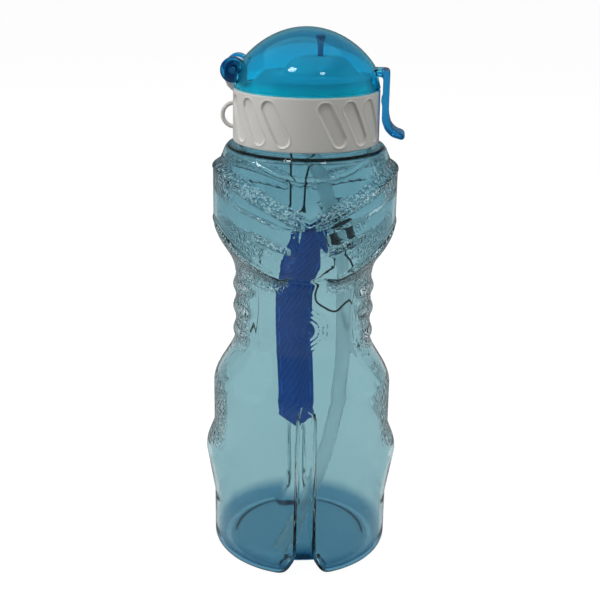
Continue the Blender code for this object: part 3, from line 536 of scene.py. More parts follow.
@dataclass(frozen=True)
class ClearPlastic:
    """A clear tinted plastic, stippled where the piece's "grain" attribute says, with painted glints
    on the stipple's crests and painted shade in its pits.
    """

    name: str
    tint: tuple[float, float, float]
    upper: tuple[float, float, float]
    foot_tone: tuple[float, float, float]
    foot: tuple[float, float]
    rise: tuple[float, float]
    roughness: float = 0.03
    ior: float = 1.36
    stippled: bool = False
    stipple_size: float = 1.1
    stipple_depth: float = 0.8
    # The pale colour on the stipple's crests is a painted glint.
    painted_glint: tuple[float, float, float] = (0.95, 0.98, 0.99)
    # The dark colour in the stipple's pits is painted shade.
    painted_pit_shade: tuple[float, float, float] = (0.07, 0.19, 0.24)

    def material(self) -> bpy.types.Material:
        """Makes the material."""
        material, build, shader = new_material(self.name)
        where = place(build)
        tint = build.add("Group", node_tree=depth_tint())
        build.tree.links.new(where, tint.inputs["Vector"])
        for key, colour in (("Tint", self.tint), ("Upper", self.upper), ("Foot Tone", self.foot_tone)):
            tint.inputs[key].default_value = (*colour, 1.0)
        for key, height in zip(("Foot", "Clear", "Low", "High"), (*self.foot, *self.rise)):
            tint.inputs[key].default_value = height * MM
        build.tree.links.new(tint.outputs[0], shader.inputs["Base Color"])
        shader.inputs["Transmission Weight"].default_value = 1.0
        shader.inputs["IOR"].default_value = self.ior
        flow = build.add("TexNoise", {"Vector": where, "Scale": 45.0, "Detail": 1.0})
        bump = build.add(
            "Bump", {"Height": flow.outputs[0], "Strength": 0.12, "Distance": 0.6 * MM}
        )
        rough = build.math("MULTIPLY_ADD", flow.outputs[0], 0.02, self.roughness)
        if self.stippled:
            grain = build.add("Attribute", attribute_name="grain").outputs["Fac"]
            cells = build.add(
                "TexVoronoi",
                {"Vector": where, "Scale": 1.0 / (self.stipple_size * MM), "Randomness": 0.9},
                feature="SMOOTH_F1",
            )
            mound = build.math("SUBTRACT", 1.0, cells.outputs["Distance"])
            height = build.math("MULTIPLY", mound, grain)
            bump = build.add(
                "Bump",
                {
                    "Height": height,
                    "Strength": 1.0,
                    "Distance": self.stipple_depth * MM,
                    "Normal": bump.outputs[0],
                },
            )
            rough = build.math("MULTIPLY_ADD", grain, 0.05, rough)
            # Painted glints: the stipple's crests are mixed towards a pale colour.
            crest = build.add("MapRange", {"Value": mound, 1: 0.50, 2: 0.72}).outputs[0]
            painted_glint = build.math("MULTIPLY", grain, build.math("MULTIPLY_ADD", crest, 1.0, 0.0))
            pale = build.blend(painted_glint, tint.outputs[0], (*self.painted_glint, 1.0))
            # Painted shade: the stipple's pits are mixed towards a dark colour.
            painted_pit_shade = build.math("MULTIPLY", grain, build.math("SUBTRACT", 1.0, crest))
            painted_pit_shade = build.math("MULTIPLY", painted_pit_shade, 0.75)
            speckled = build.blend(painted_pit_shade, pale, (*self.painted_pit_shade, 1.0))
            build.tree.links.new(speckled, shader.inputs["Base Color"])
        build.tree.links.new(rough, shader.inputs["Roughness"])
        build.tree.links.new(bump.outputs[0], shader.inputs["Normal"])
        return material


@dataclass(frozen=True)
class MouldedPlastic:
    """An opaque or milky moulded plastic with fine grain."""

    name: str
    colour: tuple[float, float, float]
    shade: tuple[float, float, float]
    roughness: float = 0.32
    grain: float = 0.04
    transmission: float = 0.0
    coat: float = 0.0
    ior: float = 1.5

    def material(self) -> bpy.types.Material:
        """Makes the material."""
        material, build, shader = new_material(self.name)
        where = place(build)
        mould = build.add("Group", node_tree=moulding())
        build.tree.links.new(where, mould.inputs["Vector"])
        mould.inputs["Roughness"].default_value = self.roughness
        cloud = build.add("TexNoise", {"Vector": where, "Scale": 60.0, "Detail": 3.0})
        colour = build.blend(cloud.outputs[0], (*self.colour, 1.0), (*self.shade, 1.0))
        bump = build.add(
            "Bump",
            {"Height": mould.outputs["Height"], "Strength": 0.5, "Distance": self.grain * MM},
        )
        build.tree.links.new(colour, shader.inputs["Base Color"])
        build.tree.links.new(mould.outputs["Roughness"], shader.inputs["Roughness"])
        build.tree.links.new(bump.outputs[0], shader.inputs["Normal"])
        shader.inputs["Transmission Weight"].default_value = self.transmission
        shader.inputs["Coat Weight"].default_value = self.coat
        shader.inputs["IOR"].default_value = self.ior
        return material


@dataclass(frozen=True)
class WovenFabric:
    """Woven threads that follow the piece's own UV map."""

    name: str
    colour: tuple[float, float, float]
    shade: tuple[float, float, float]
    across: float
    along: float
    depth: float = 0.12
    stitched: bool = False

    def material(self) -> bpy.types.Material:
        """Makes the material."""
        material, build, shader = new_material(self.name)
        where = build.add("TexCoord").outputs["UV"]
        threads = build.add("Group", node_tree=weave())
        build.tree.links.new(where, threads.inputs["Vector"])
        threads.inputs["Across"].default_value = math.pi * self.across
        threads.inputs["Along"].default_value = math.pi * self.along
        shade, height = threads.outputs["Shade"], threads.outputs["Height"]
        colour = build.blend(shade, (*self.shade, 1.0), (*self.colour, 1.0))
        if self.stitched:
            parts = build.add("SeparateXYZ", {0: where})
            offset = build.math("SUBTRACT", parts.outputs[0], 0.5)
            near = build.math("COMPARE", build.math("ABSOLUTE", offset), 0.41, 0.018)
            beat = build.math("SINE", build.math("MULTIPLY", parts.outputs[1], 0.5 * self.along))
            stitch = build.math("MULTIPLY", near, build.math("GREATER_THAN", beat, -0.3))
            light = tuple(min(1.0, 1.7 * value + 0.01) for value in self.colour)
            colour = build.blend(build.math("MULTIPLY", stitch, 0.6), colour, (*light, 1.0))
            height = build.math("ADD", height, build.math("MULTIPLY", near, -0.7))
            height = build.math("ADD", height, stitch)
        bump = build.add(
            "Bump", {"Height": height, "Strength": 0.8, "Distance": self.depth * MM}
        )
        build.tree.links.new(colour, shader.inputs["Base Color"])
        build.tree.links.new(bump.outputs[0], shader.inputs["Normal"])
        shader.inputs["Roughness"].default_value = 0.78
        shader.inputs["Sheen Weight"].default_value = 0.08
        return material


# The darker, bluer foot tone is painted shade on the base, and the darker upper tint is painted shade
# over the chest and yoke.
BOTTLE_CLEAR = ClearPlastic(
    name="bottle_clear",
    tint=(0.49, 0.66, 0.69),
    upper=(0.34, 0.54, 0.60),
    foot_tone=(0.08, 0.25, 0.37),
    foot=(2.0, 11.0),
    rise=(122.0, 150.0),
    stippled=True,
)
# The bright cyan foot tone is a painted glow along the dome's rim.
COVER_BLUE = ClearPlastic(
    name="cover_blue",
    tint=(0.07, 0.54, 0.74),
    upper=(0.12, 0.48, 0.66),
    foot_tone=(0.01, 0.78, 0.98),
    foot=(195.0, 201.0),
    rise=(204.0, 214.0),
)
LEVER_BLUE = ClearPlastic(
    name="lever_blue",
    tint=(0.014, 0.20, 0.42),
    upper=(0.012, 0.20, 0.45),
    foot_tone=(0.010, 0.14, 0.34),
    foot=(176.0, 190.0),
    rise=(200.0, 206.0),
)
LID_WHITE = MouldedPlastic("lid_white", (0.66, 0.65, 0.615), (0.61, 0.60, 0.565), 0.38)
SEAL = MouldedPlastic("seal", (0.60, 0.60, 0.58), (0.52, 0.52, 0.50), 0.5, 0.06, 0.2)
STOPPER_BLUE = MouldedPlastic("stopper_blue", (0.015, 0.09, 0.30), (0.01, 0.07, 0.25), 0.22)
PIN_BLUE = MouldedPlastic("pin_blue", (0.01, 0.20, 0.42), (0.01, 0.15, 0.35), 0.2, 0.02, 0.5)
STRAW_TUBE = MouldedPlastic(
    "straw_tube", (0.99, 1.0, 1.0), (0.94, 0.97, 0.98), 0.30, 0.03, 0.93, 0.0, 1.16
)
WEBBING_BLUE = WovenFabric(
    "webbing_blue", (0.006, 0.14, 0.62), (0.003, 0.06, 0.32), 15.0, 620.0, 0.14, True
)
CORD_BLACK = WovenFabric("cord_black", (0.022, 0.040, 0.052), (0.008, 0.014, 0.020), 6.0, 90.0)
BUCKLE_BLACK = MouldedPlastic("buckle_black", (0.02, 0.02, 0.022), (0.012, 0.012, 0.013), 0.38)


def dress(piece: bpy.types.Object, material: bpy.types.Material) -> None:
    """Gives a piece one material."""
    piece.data.materials.clear()
    piece.data.materials.append(material)


def report(piece: bpy.types.Object) -> None:
    """Logs a finished piece's name and size."""
    size = ", ".join(f"{1000.0 * side:.1f}" for side in piece.dimensions)
    log.info("%s: %s mm, %d faces", piece.name, size, len(getattr(piece.data, "polygons", ())))


# --------------------------------------------------------------- bottle shell


@dataclass
class BottleShell:
    """The blow-moulded clear shell, with the relief of its front, back and sides."""

    wall: float = 1.3
    body: float = 36.8
    waist: float = 27.7
    chest: float = 36.4
    yoke_step: float = 3.1
    yoke_top: float = 31.7
    corner: float = 4.4
    punt: float = 27.3
    punt_rise: float = 2.4
    hip: float = 74.0
    hip_top: float = 96.0
    waist_top: float = 120.0
    chest_edge: float = 127.5
    chest_edge_rise: float = 16.0
    plate_top: float = 148.0
    yoke_rise: float = 17.5
    yoke_bevel: float = 3.0
    shoulder: float = 172.3
    crown: float = 1.6
    neck: float = 24.6
    neck_root: float = 2.8
    neck_top: float = 191.5
    groove_half: float = 3.0
    groove_top: float = 75.0
    groove_reach: float = 13.2
    thread_start: float = 180.5
    thread_pitch: float = 4.0
    columns: int = 192

    def edge_height(self, side: np.ndarray) -> np.ndarray:
        """Height of the chest plates' lower edge."""
        return self.chest_edge + self.chest_edge_rise * side**2

    def top_height(self, side: np.ndarray) -> np.ndarray:
        """Height of the chest plates' upper edge."""
        return self.plate_top + self.yoke_rise * side

    def foot_rows(self, count: int, corner_count: int) -> tuple[np.ndarray, np.ndarray]:
        """Radii and heights from the base's centre to the straight wall.

        Args:
            count: Rows over the base.
            corner_count: Rows round the corner.

        Returns:
            Radii and heights.
        """
        flat_outer = self.body - self.corner
        marks = [(0.0, self.punt_rise), (0.8 * self.punt, self.punt_rise)]
        marks += [(0.96 * self.punt, 0.75 * self.punt_rise), (self.punt + 1.0, 0.15)]
        marks += [(self.punt + 2.4, 0.0), (flat_outer, 0.0)]
        shares = np.linspace(0.0, 1.0, len(marks))
        spots = np.linspace(0.0, 1.0, count)
        radius = np.interp(spots, shares, [r for r, _ in marks])
        height = np.interp(spots, shares, [z for _, z in marks])
        turns = np.linspace(0.0, 0.5 * math.pi, corner_count + 1)[1:]
        arc_r = flat_outer + self.corner * np.sin(turns)
        arc_z = self.corner * (1.0 - np.cos(turns))
        return np.concatenate([radius, arc_r]), np.concatenate([height, arc_z])

    def heights(self, side: np.ndarray, counts: tuple[int, ...]) -> np.ndarray:
        """Row heights above the corner, one row of columns after the other.

        Args:
            side: How far round to the side each point is, from 0 to 1.
            counts: Rows in each zone.

        Returns:
            The heights.
        """
        edge, top = self.edge_height(side), self.top_height(side)
        level = np.ones_like(side)
        keys = [self.corner * level, self.hip * level, self.hip_top * level]
        keys += [self.waist_top * level, edge, top, top + self.yoke_bevel, self.shoulder * level]
        rows = []
        for low, high, count in zip(keys, keys[1:], counts):
            shares = np.linspace(0.0, 1.0, count + 1)[1:]
            rows += [mix(low, high, share) for share in shares]
        return np.array(rows)

    def plain_radius(self, side: np.ndarray, height: np.ndarray) -> np.ndarray:
        """The shell's radius without its channel, panels, ribs and bars.

        Args:
            side: How far round to the side each point is, from 0 to 1.
            height: Its height, in millimetres.

        Returns:
            The radius.
        """
        edge, top = self.edge_height(side), self.top_height(side)
        flank = ease((side - 0.75) / 0.25)
        rise = np.clip((height - 24.0) / 20.6, 0.0, 1.0)
        fall = 1.0 - ease((height - 44.6) / 12.4)
        radius = self.body + 3.4 * flank * np.minimum(rise, fall)
        radius += (self.waist - self.body) * ease((height - self.hip) / 22.0)
        flare = ease(np.clip((height - self.waist_top) / (edge - self.waist_top), 0, 1) ** 1.25)
        radius = np.where(height > self.waist_top, mix(self.waist, self.chest, flare), radius)
        edge_radius = self.chest - self.yoke_step
        bevel = mix(self.chest, edge_radius, ease((height - top) / self.yoke_bevel))
        radius = np.where(height > top, bevel, radius)
        above = (height - top - self.yoke_bevel) / (self.shoulder - top - self.yoke_bevel)
        yoke = mix(edge_radius, self.yoke_top, np.clip(above, 0.0, 1.0))
        return np.where(height > top + self.yoke_bevel, yoke, radius)

    def channel(self, across: np.ndarray, side: np.ndarray, height: np.ndarray) -> np.ndarray:
        """How deep the channel between the two chest plates is."""
        half = np.interp(height, [126.0, 132.5, 140.0, 150.0], [9.0, 8.2, 5.2, 3.2])
        middle = np.interp(height, [120.0, 127.5, 134.0, 142.0, 150.0], [5.6, 5.4, 4.4, 3.2, 2.6])
        depth = middle * (1.0 - ease((across / half - 0.62) / 0.76))
        low = ease((height - 119.5) / 8.5)
        high = 1.0 - ease((height - self.top_height(side) - 1.0) / 3.0)
        return depth * low * high

    def relief(self, turn: np.ndarray, height: np.ndarray) -> np.ndarray:
        """What the fine features add to the radius.

        Args:
            turn: Azimuth of each point.
            height: Its height, in millimetres.

        Returns:
            The added radius.
        """
        side = np.abs(np.sin(turn))
        angle = np.degrees(np.arcsin(side))
        radius = self.plain_radius(side, height)
        across = radius * side
        added = self.panel(across, height)
        added += self.ribs(angle, side, height)
        added += self.navel(across, height)
        added += self.chest_lines(angle, side, height)
        added += self.crescent(angle, height)
        return added - self.channel(across, side, height)

    def panel(self, across: np.ndarray, height: np.ndarray) -> np.ndarray:
        """The raised belly panel that flares down over the hips."""
        drop = np.clip((100.0 - height) / 22.0, 0.0, 1.0)
        edge = 17.6 + 14.4 * drop**1.6
        fade = ease((height - 76.0) / 5.0) * (1.0 - ease((height - 122.0) / 5.0))
        step = 0.8 * edge_at(across - edge, 1.8)
        seam = 0.35 * ridge(across - edge - 0.9, 0.9)
        return (step - seam) * fade

    def ribs(self, angle: np.ndarray, side: np.ndarray, height: np.ndarray) -> np.ndarray:
        """The three finger ribs on each flank, which end in rounded tips."""
        added = np.zeros_like(height)
        for middle, start in ((97.0, 59.0), (107.0, 50.0), (116.3, 45.0)):
            centre = middle + 7.0 * (1.0 - side)
            tip = ease((angle - start) / 9.0)
            added += 1.0 * tip * ridge(height - centre, 3.3 * (0.35 + 0.65 * tip + 1e-6).max())
            added -= 0.35 * tip * ridge(height - centre - 4.9, 1.2)
        return added

    def navel(self, across: np.ndarray, height: np.ndarray) -> np.ndarray:
        """Three rings round a low boss in the middle of the waist."""
        distance = np.hypot(across, height - 106.0)
        added = 0.45 * edge_at(distance - 2.4, 2.2)
        for radius in (4.3, 6.2, 8.1):
            added += 0.45 * ridge(distance - radius, 0.62)
        return added

    def chest_lines(self, angle: np.ndarray, side: np.ndarray, height: np.ndarray) -> np.ndarray:
        """The crease, the raised bar and the rounded corner of each chest plate.

        Args:
            angle: Degrees from the nearer groove.
            side: How far round to the side each point is, from 0 to 1.
            height: Its height, in millimetres.

        Returns:
            The added radius.
        """
        crease = 145.0 + 12.5 * side + 2.2 * ridge(angle - 6.0, 5.0)
        span = ease((angle - 5.5) / 2.5) * (1.0 - ease((angle - 46.0) / 8.0))
        below = height - crease
        added = 0.55 * span * (1.0 - ease((below + 0.6) / 0.9)) * ease((below + 9.0) / 7.0)
        added -= 0.6 * span * ridge(below, 0.75)
        bar = 137.3 + 11.7 * side
        reach = ease((angle - 11.0) / 2.0) * (1.0 - ease((angle - 34.0) / 2.5))
        added += 0.6 * reach * edge_at(np.abs(height - bar) - 1.2, 0.9)
        added -= 0.25 * reach * ridge(np.abs(height - bar) - 2.0, 0.6)
        lip = height - self.edge_height(side)
        added += 0.35 * ridge(lip - 0.9, 1.3) * ease((angle - 12.0) / 4.0)
        rim = height - self.top_height(side)
        added += 0.3 * ridge(rim + 0.4, 0.9) * ease((angle - 4.0) / 4.0)
        return added

    def crescent(self, angle: np.ndarray, height: np.ndarray) -> np.ndarray:
        """The shallow crescent on the yoke, with its thin raised rim."""
        lower = 165.9 + 6.4 * (angle / 43.0) ** 2
        inside = edge_at(lower - height, 0.8) * edge_at(angle - 43.0, 2.0)
        rim = ridge(height - lower + 0.2, 1.0) * edge_at(angle - 43.0, 2.0)
        fade = 1.0 - ease((height - 171.6) / 0.7)
        return (0.8 * rim - 0.4 * inside) * fade

    def grain(self, turn: np.ndarray, height: np.ndarray) -> np.ndarray:
        """Where the shell is stippled, from 0 to 1.

        Args:
            turn: Azimuth of each point.
            height: Its height, in millimetres.

        Returns:
            The stipple's strength.
        """
        side = np.abs(np.sin(turn))
        angle = np.degrees(np.arcsin(side))
        top, edge = self.top_height(side), self.edge_height(side)
        band = edge_at(np.abs(height - top - 1.0) - 2.7, 0.7) * ease((angle - 3.0) / 3.0)
        flank_band = edge_at(np.abs(height - top + 3.0) - 5.0, 2.0) * ease((angle - 48.0) / 10.0)
        under = edge_at(height - edge + 0.6, 1.2) * ease((height - 119.5) / 2.5)
        under *= ease((angle - 13.0) / 5.0)
        bar = edge_at(np.abs(height - 137.3 - 11.7 * side) - 1.3, 0.5)
        bar *= edge_at(np.abs(angle - 23.3) - 11.0, 1.5)
        patch = edge_at(np.abs(height - 63.0) - 13.0, 6.0) * ease((angle - 58.0) / 10.0)
        ribbed = edge_at(np.abs(height - 107.0) - 15.0, 5.0) * ease((angle - 52.0) / 8.0)
        mask = np.maximum.reduce([band, flank_band, under, bar, patch, 0.7 * ribbed])
        return np.where(height < self.shoulder, mask, 0.0)

    def thread(self, turn: np.ndarray, height: np.ndarray) -> np.ndarray:
        """The helical ridge on the neck, one and a quarter turns.

        Args:
            turn: Azimuth of each point.
            height: Its height, in millimetres.

        Returns:
            The added radius.
        """
        run = np.mod(turn - 0.5 * math.pi, math.tau)
        added = np.zeros_like(height)
        for lap in (0, 1):
            along = run + math.tau * lap
            line = self.thread_start + self.thread_pitch * along / math.tau
            ends = ease(along / 0.35) * ease((2.5 * math.pi - along) / 0.35)
            added = np.maximum(added, 1.1 * ends * edge_at(np.abs(height - line) - 0.5, 0.5))
        return added

    def groove(
        self, turn: np.ndarray, radius: np.ndarray, height: np.ndarray, grow: float
    ) -> tuple[np.ndarray, np.ndarray]:
        """Pulls the shell in along the groove between its two feet.

        Args:
            turn: Azimuth of each point.
            radius: The shell's radius there.
            height: Its height, in millimetres.
            grow: How much wider and deeper the groove is, for the inner wall.

        Returns:
            Each point's x and y.
        """
        share = np.clip(height / self.groove_top, 0.0, 1.0)
        floor = self.body - 0.8 - self.groove_reach * (1.0 - share) ** 1.5 - grow
        arch = np.clip((height - self.groove_top + 4.0) / 4.0, 0.0, 1.0)
        half = (self.groove_half + 0.3 * (1 - share)) * np.sqrt(1.0 - 0.97 * arch**2) + grow
        half = half + 6.0 * np.clip(1.0 - height / 12.0, 0.0, 1.0) ** 2
        depth = np.maximum(radius - floor, 0.0) * (1.0 - ease((height - 73.5) / 3.0))
        lip = 1.3 + 0.7 * np.clip(1.0 - height / 12.0, 0.0, 1.0)
        reach = np.arcsin(np.clip((half + lip) / np.maximum(radius, half + lip + 4.0), 0, 1))
        front = np.cos(turn) >= 0.0
        away = np.where(front, turn, np.mod(turn, math.tau) - math.pi)
        slot = np.abs(away) / reach
        marks = [0.0, 0.25, 0.42, 0.58, 0.72, 0.84, 1.0]
        shape = np.interp(slot, marks, [0.0, 0.55, 0.86, 0.97, 1.0, 1.06, 1.2])
        sunk = np.interp(slot, marks, [1.0, 0.98, 0.86, 0.5, 0.18, 0.05, 0.0])
        flared = mix(1.06 * half, half + lip, (slot - 0.84) / 0.16)
        wide = np.where(slot > 0.84, flared, shape * half)
        x_in = np.sign(away) * wide
        inside = (slot < 1.0) & (radius > floor) & (height < 76.5) & (depth > 0.0)
        y_in = np.sqrt(np.maximum(radius**2 - x_in**2, 0.0)) - depth * sunk
        x = np.where(inside, x_in, radius * np.sin(away))
        y = np.where(inside, y_in, radius * np.cos(away))
        sense = np.where(front, 1.0, -1.0)
        return x * sense, -y * sense

    def sheet(self, fine: bool) -> tuple[np.ndarray, np.ndarray]:
        """The outer or the inner wall from the base's centre to the neck's rim.

        Args:
            fine: Whether the rows are close and carry the fine relief.

        Returns:
            The points, and the stipple at each of them.
        """
        even = np.linspace(-math.pi, math.pi, self.columns + 1)
        turns = even - 0.3 * np.sin(2.0 * even)
        counts = (66, 24, 60, 28, 52, 12, 32) if fine else (18, 8, 10, 8, 12, 4, 8)
        foot_r, foot_z = self.foot_rows(16, 8) if fine else self.foot_rows(7, 4)
        side = np.abs(np.sin(turns))
        upper = self.heights(side, counts)
        turn = np.broadcast_to(turns, upper.shape)
        added = self.relief(turn, upper) if fine else -self.channel(
            self.plain_radius(side, upper) * side, side, upper
        )
        wall_r = self.plain_radius(np.broadcast_to(side, upper.shape), upper) + added
        neck_r, neck_z = self.neck_rows(fine)
        foot_r = np.repeat(foot_r[:, None], len(turns), axis=1)
        foot_z = np.repeat(foot_z[:, None], len(turns), axis=1)
        neck_r = np.repeat(neck_r[:, None], len(turns), axis=1)
        neck_z = np.repeat(neck_z[:, None], len(turns), axis=1)
        if fine:
            screw = self.thread(np.broadcast_to(turns, neck_z.shape), neck_z)
            neck_r = neck_r + np.where(neck_r < self.neck + 0.01, screw, 0.0)
        radius = np.concatenate([foot_r, wall_r, neck_r])
        height = np.concatenate([foot_z, upper, neck_z])
        turn = np.broadcast_to(turns, height.shape)
        x, y = self.groove(turn, radius, height, 0.0)
        return np.stack([x, y, height], axis=-1), self.grain(turn, height)

    def neck_rows(self, fine: bool) -> tuple[np.ndarray, np.ndarray]:
        """Radii and heights over the shoulder and up the neck.

        Args:
            fine: Whether the thread is to be drawn.

        Returns:
            Radii and heights.
        """
        root = self.neck + self.neck_root
        marks = [(self.yoke_top, self.shoulder)]
        marks += [(self.yoke_top - 0.7 * self.crown, self.shoulder + self.crown)]
        marks += [(root + self.crown, self.shoulder + 0.9 * self.crown)]
        marks += [(root, self.shoulder + 0.3 * self.crown)]
        marks += [(self.neck, self.shoulder + 0.6 * self.crown), (self.neck, self.neck_top)]
        line = np.array(rounded(marks, 1.2, 5 if fine else 1)[1:])
        count = 44 if fine else 6
        rise = np.linspace(line[-2][1], self.neck_top, count + 1)[1:]
        radius = np.concatenate([line[:-1, 0], np.full(count, self.neck)])
        return radius, np.concatenate([line[:-1, 1], rise])

    def build(self) -> bpy.types.Object:
        """Makes the shell with both of its walls."""
        outer, grain = self.sheet(True)
        inner, _ = self.sheet(False)
        inner = self.moved_in(inner)
        table = np.concatenate([outer, inner[::-1]])
        marks = np.concatenate([grain, np.zeros(inner.shape[:2])])
        piece = wrapped("bottle_shell", table, grain=marks)
        dress(piece, BOTTLE_CLEAR.material())
        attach(piece, Body.BOTTLE.value)
        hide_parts("bottle_body")
        report(piece)
        return piece

    def moved_in(self, wall: np.ndarray) -> np.ndarray:
        """The wall's points moved in by its thickness, along its own normals.

        Args:
            wall: Each point's wall thickness.

        Returns:
            The moved points.
        """
        along = np.gradient(wall, axis=0)
        looped = np.concatenate([wall[:, -2:-1], wall, wall[:, 1:2]], axis=1)
        around = np.gradient(looped, axis=1)[:, 1:-1]
        normal = np.cross(around, along)
        length = np.linalg.norm(normal, axis=-1, keepdims=True)
        normal = np.divide(normal, length, out=np.zeros_like(normal), where=length > 1e-9)
        normal[0] = (0.0, 0.0, -1.0)
        normal[:3, :, :2] = 0.0
        normal[:3, :, 2] = -1.0
        moved = wall - normal * self.wall
        moved[..., 2] = np.maximum(moved[..., 2], self.wall)
        moved[-1, :, 2] = self.neck_top
        return moved


# ------------------------------------------------------------------ screw lid


@dataclass
class ScrewLid:
    """The white lid: ribbed skirt, ledge, drum, deck with its spout, hinge lug and eyelet."""

    radius: float = 28.4
    flare: float = 0.15
    inner: float = 26.6
    bottom: float = 175.3
    ledge: float = 195.5
    underside: float = 193.8
    drum_radius: float = 25.2
    drum_top: float = 200.1
    deck_underside: float = 198.4
    chamber: float = 6.9
    mouth_offset: float = 5.0
    mouth: float = 1.7
    spout_height: float = 7.5
    spout_length: float = 15.0
    spout_width: float = 11.5
    hinge_x: float = -27.6
    hinge_z: float = 202.4
    swing: float = 9.4
    slot_half: float = 2.7
    slot_run: float = 6.3
    lug_radius: float = 3.6
    lug_bore: float = 9.0
    slot_lean: float = math.radians(28.0)
    slot_pitch: float = math.radians(20.3)
    slot_groups: tuple = (44.8, 140.4, -135.2, -39.6)
    slot_depth: float = 0.6
    columns: int = 400

    def slots(self, turn: np.ndarray, height: np.ndarray) -> np.ndarray:
        """What the leaning slots and their thin raised rims add to the skirt's radius.

        Args:
            turn: Azimuth of each point.
            height: Its height, in millimetres.

        Returns:
            The added radius.
        """
        added = np.zeros_like(height)
        up = height - 0.5 * (self.bottom + self.ledge)
        for middle in self.slot_groups:
            for index in range(3):
                centre = math.radians(middle) + self.slot_pitch * (index - 1)
                away = np.mod(turn - centre + math.pi, math.tau) - math.pi
                across = away * self.radius
                along = -across * math.sin(self.slot_lean) + up * math.cos(self.slot_lean)
                beside = across * math.cos(self.slot_lean) + up * math.sin(self.slot_lean)
                past = np.maximum(np.abs(along) - self.slot_run, 0.0)
                distance = np.hypot(beside, past) - self.slot_half
                added -= self.slot_depth * edge_at(distance, 0.7)
                added += 0.22 * ridge(distance - 0.35, 0.55)
        return added

    def cut_x(self, height: float) -> float:
        """How far the drum reaches towards the hinge, clear of the cover's rim."""
        return -self.hinge_x - math.sqrt(self.swing**2 - (self.hinge_z - height) ** 2)

    def drum_reach(self, turns: np.ndarray, height: float) -> np.ndarray:
        """The drum's radius at each azimuth, flattened beside the hinge."""
        towards = np.maximum(-np.sin(turns), 1e-6)
        return np.minimum(self.drum_radius, self.cut_x(height) / towards)

    def ring(self, turns: np.ndarray, radius: Any, height: Any, shift: float = 0.0) -> np.ndarray:
        """One level row of points round the lid."""
        x = radius * np.sin(turns) + shift
        y = -radius * np.cos(turns)
        return np.stack([x, y, np.broadcast_to(height, turns.shape)], axis=-1)

    def mound(self, x: np.ndarray, y: np.ndarray) -> np.ndarray:
        """Height of the spout above the deck."""
        reach = np.hypot((x - self.mouth_offset) / self.spout_length, y / self.spout_width)
        share = np.clip((1.0 - reach) / 0.62, 0.0, 1.0) ** (1.0 / 1.3)
        rise = self.spout_height * np.sin(0.5 * math.pi * share)
        foot = 0.9 * np.exp(-(np.maximum(reach - 1.0, 0.0) * 9.0)) * (reach > 0.93)
        return np.maximum(rise, 0.6 * foot)

    def rows(self) -> np.ndarray:
        """Every row of the lid's moulding, from its underside out and in again to the mouth."""
        turns = np.linspace(-math.pi, math.pi, self.columns + 1)
        rows = [self.ring(turns, self.chamber, self.deck_underside)]
        rows += [self.ring(turns, self.chamber, self.underside)]
        inside = rounded([(self.chamber, 193.8), (26.6, 193.8), (26.6, 175.3), (28.55, 175.3)], 0.4)
        rows += [self.ring(turns, r, z) for r, z in inside[1:-1]]
        foot = self.radius + self.flare
        for r, z in ((foot - 0.45, 175.3), (foot - 0.13, 175.43), (foot, 175.75)):
            rows.append(self.ring(turns, r, z))
        for height in np.linspace(176.0, self.ledge - 0.5, 76):
            level = np.full_like(turns, height)
            skirt = mix(foot, self.radius, (height - self.bottom) / (self.ledge - self.bottom))
            rows.append(self.ring(turns, skirt + self.slots(turns, level), height))
        for r, z in ((self.radius - 0.13, 195.35), (self.radius - 0.5, 195.5)):
            rows.append(self.ring(turns, r, z))
        for share in (0.0, 0.5, 0.94):
            rows.append(self.ring(turns, mix(27.5, self.drum_reach(turns, 195.5), share), 195.5))
        for height in (195.65, 196.0, 197.0, 198.0, 199.0, 199.6):
            rows.append(self.ring(turns, self.drum_reach(turns, height), height))
        rim = self.drum_reach(turns, self.drum_top)
        for inset, height in ((0.13, 199.95), (0.5, 200.1)):
            rows.append(self.ring(turns, rim - inset, height))
        for share in np.linspace(0.0, 1.0, 64)[1:]:
            radius = mix(rim - 0.5, self.mouth + 0.45, share)
            row = self.ring(turns, radius, self.drum_top, self.mouth_offset * share)
            row[:, 2] += self.mound(row[:, 0], row[:, 1])
            rows.append(row)
        crest = self.drum_top + self.spout_height
        for r, z in ((0.13, crest - 0.13), (0.0, crest - 0.45), (0.0, self.deck_underside)):
            rows.append(self.ring(turns, self.mouth + r, z, self.mouth_offset))
        rows.append(rows[0])
        return np.array(rows)

    def lug(self) -> bpy.types.Object:
        """The lid's half of the hinge."""
        outline = []
        for step in range(17):
            angle = math.pi * step / 16.0
            across, up = self.lug_radius * math.cos(angle), self.lug_radius * math.sin(angle)
            outline.append((self.hinge_x + across, self.hinge_z + up))
        outline += [(-31.2, 198.0), (-30.2, 195.8), (-28.1, 193.9), (-26.4, 193.9), (-24.0, 196.0)]
        lug = plate("hinge_lug", outline, -4.8, 4.8, 0.45)
        start = Vector((self.hinge_x, -self.lug_bore, self.hinge_z))
        end = Vector((self.hinge_x, self.lug_bore, self.hinge_z))
        combine(lug, drum("bore", 1.5, start, end, 0.0), Cut.REMOVE)
        weld(lug)
        return lug

    def eyelet(self) -> bpy.types.Object:
        """The small wire loop on the skirt under the hinge."""
        deselect()
        bpy.ops.mesh.primitive_torus_add(
            major_segments=64, minor_segments=16, major_radius=4.6 * MM, minor_radius=0.85 * MM
        )
        loop = named("eyelet")
        bpy.ops.object.mode_set(mode="EDIT")
        bpy.ops.mesh.select_all(action="SELECT")
        bpy.ops.mesh.bisect(
            plane_co=(0.9 * MM, 0.0, 0.0), plane_no=(1.0, 0.0, 0.0), use_fill=True, clear_outer=True
        )
        bpy.ops.object.mode_set(mode="OBJECT")
        stand = Matrix.Rotation(0.5 * math.pi, 4, "X")
        loop.data.transform(Matrix.Translation(Vector((-28.2, 0.0, 184.2)) * MM) @ stand)
        weld(loop)
        return loop

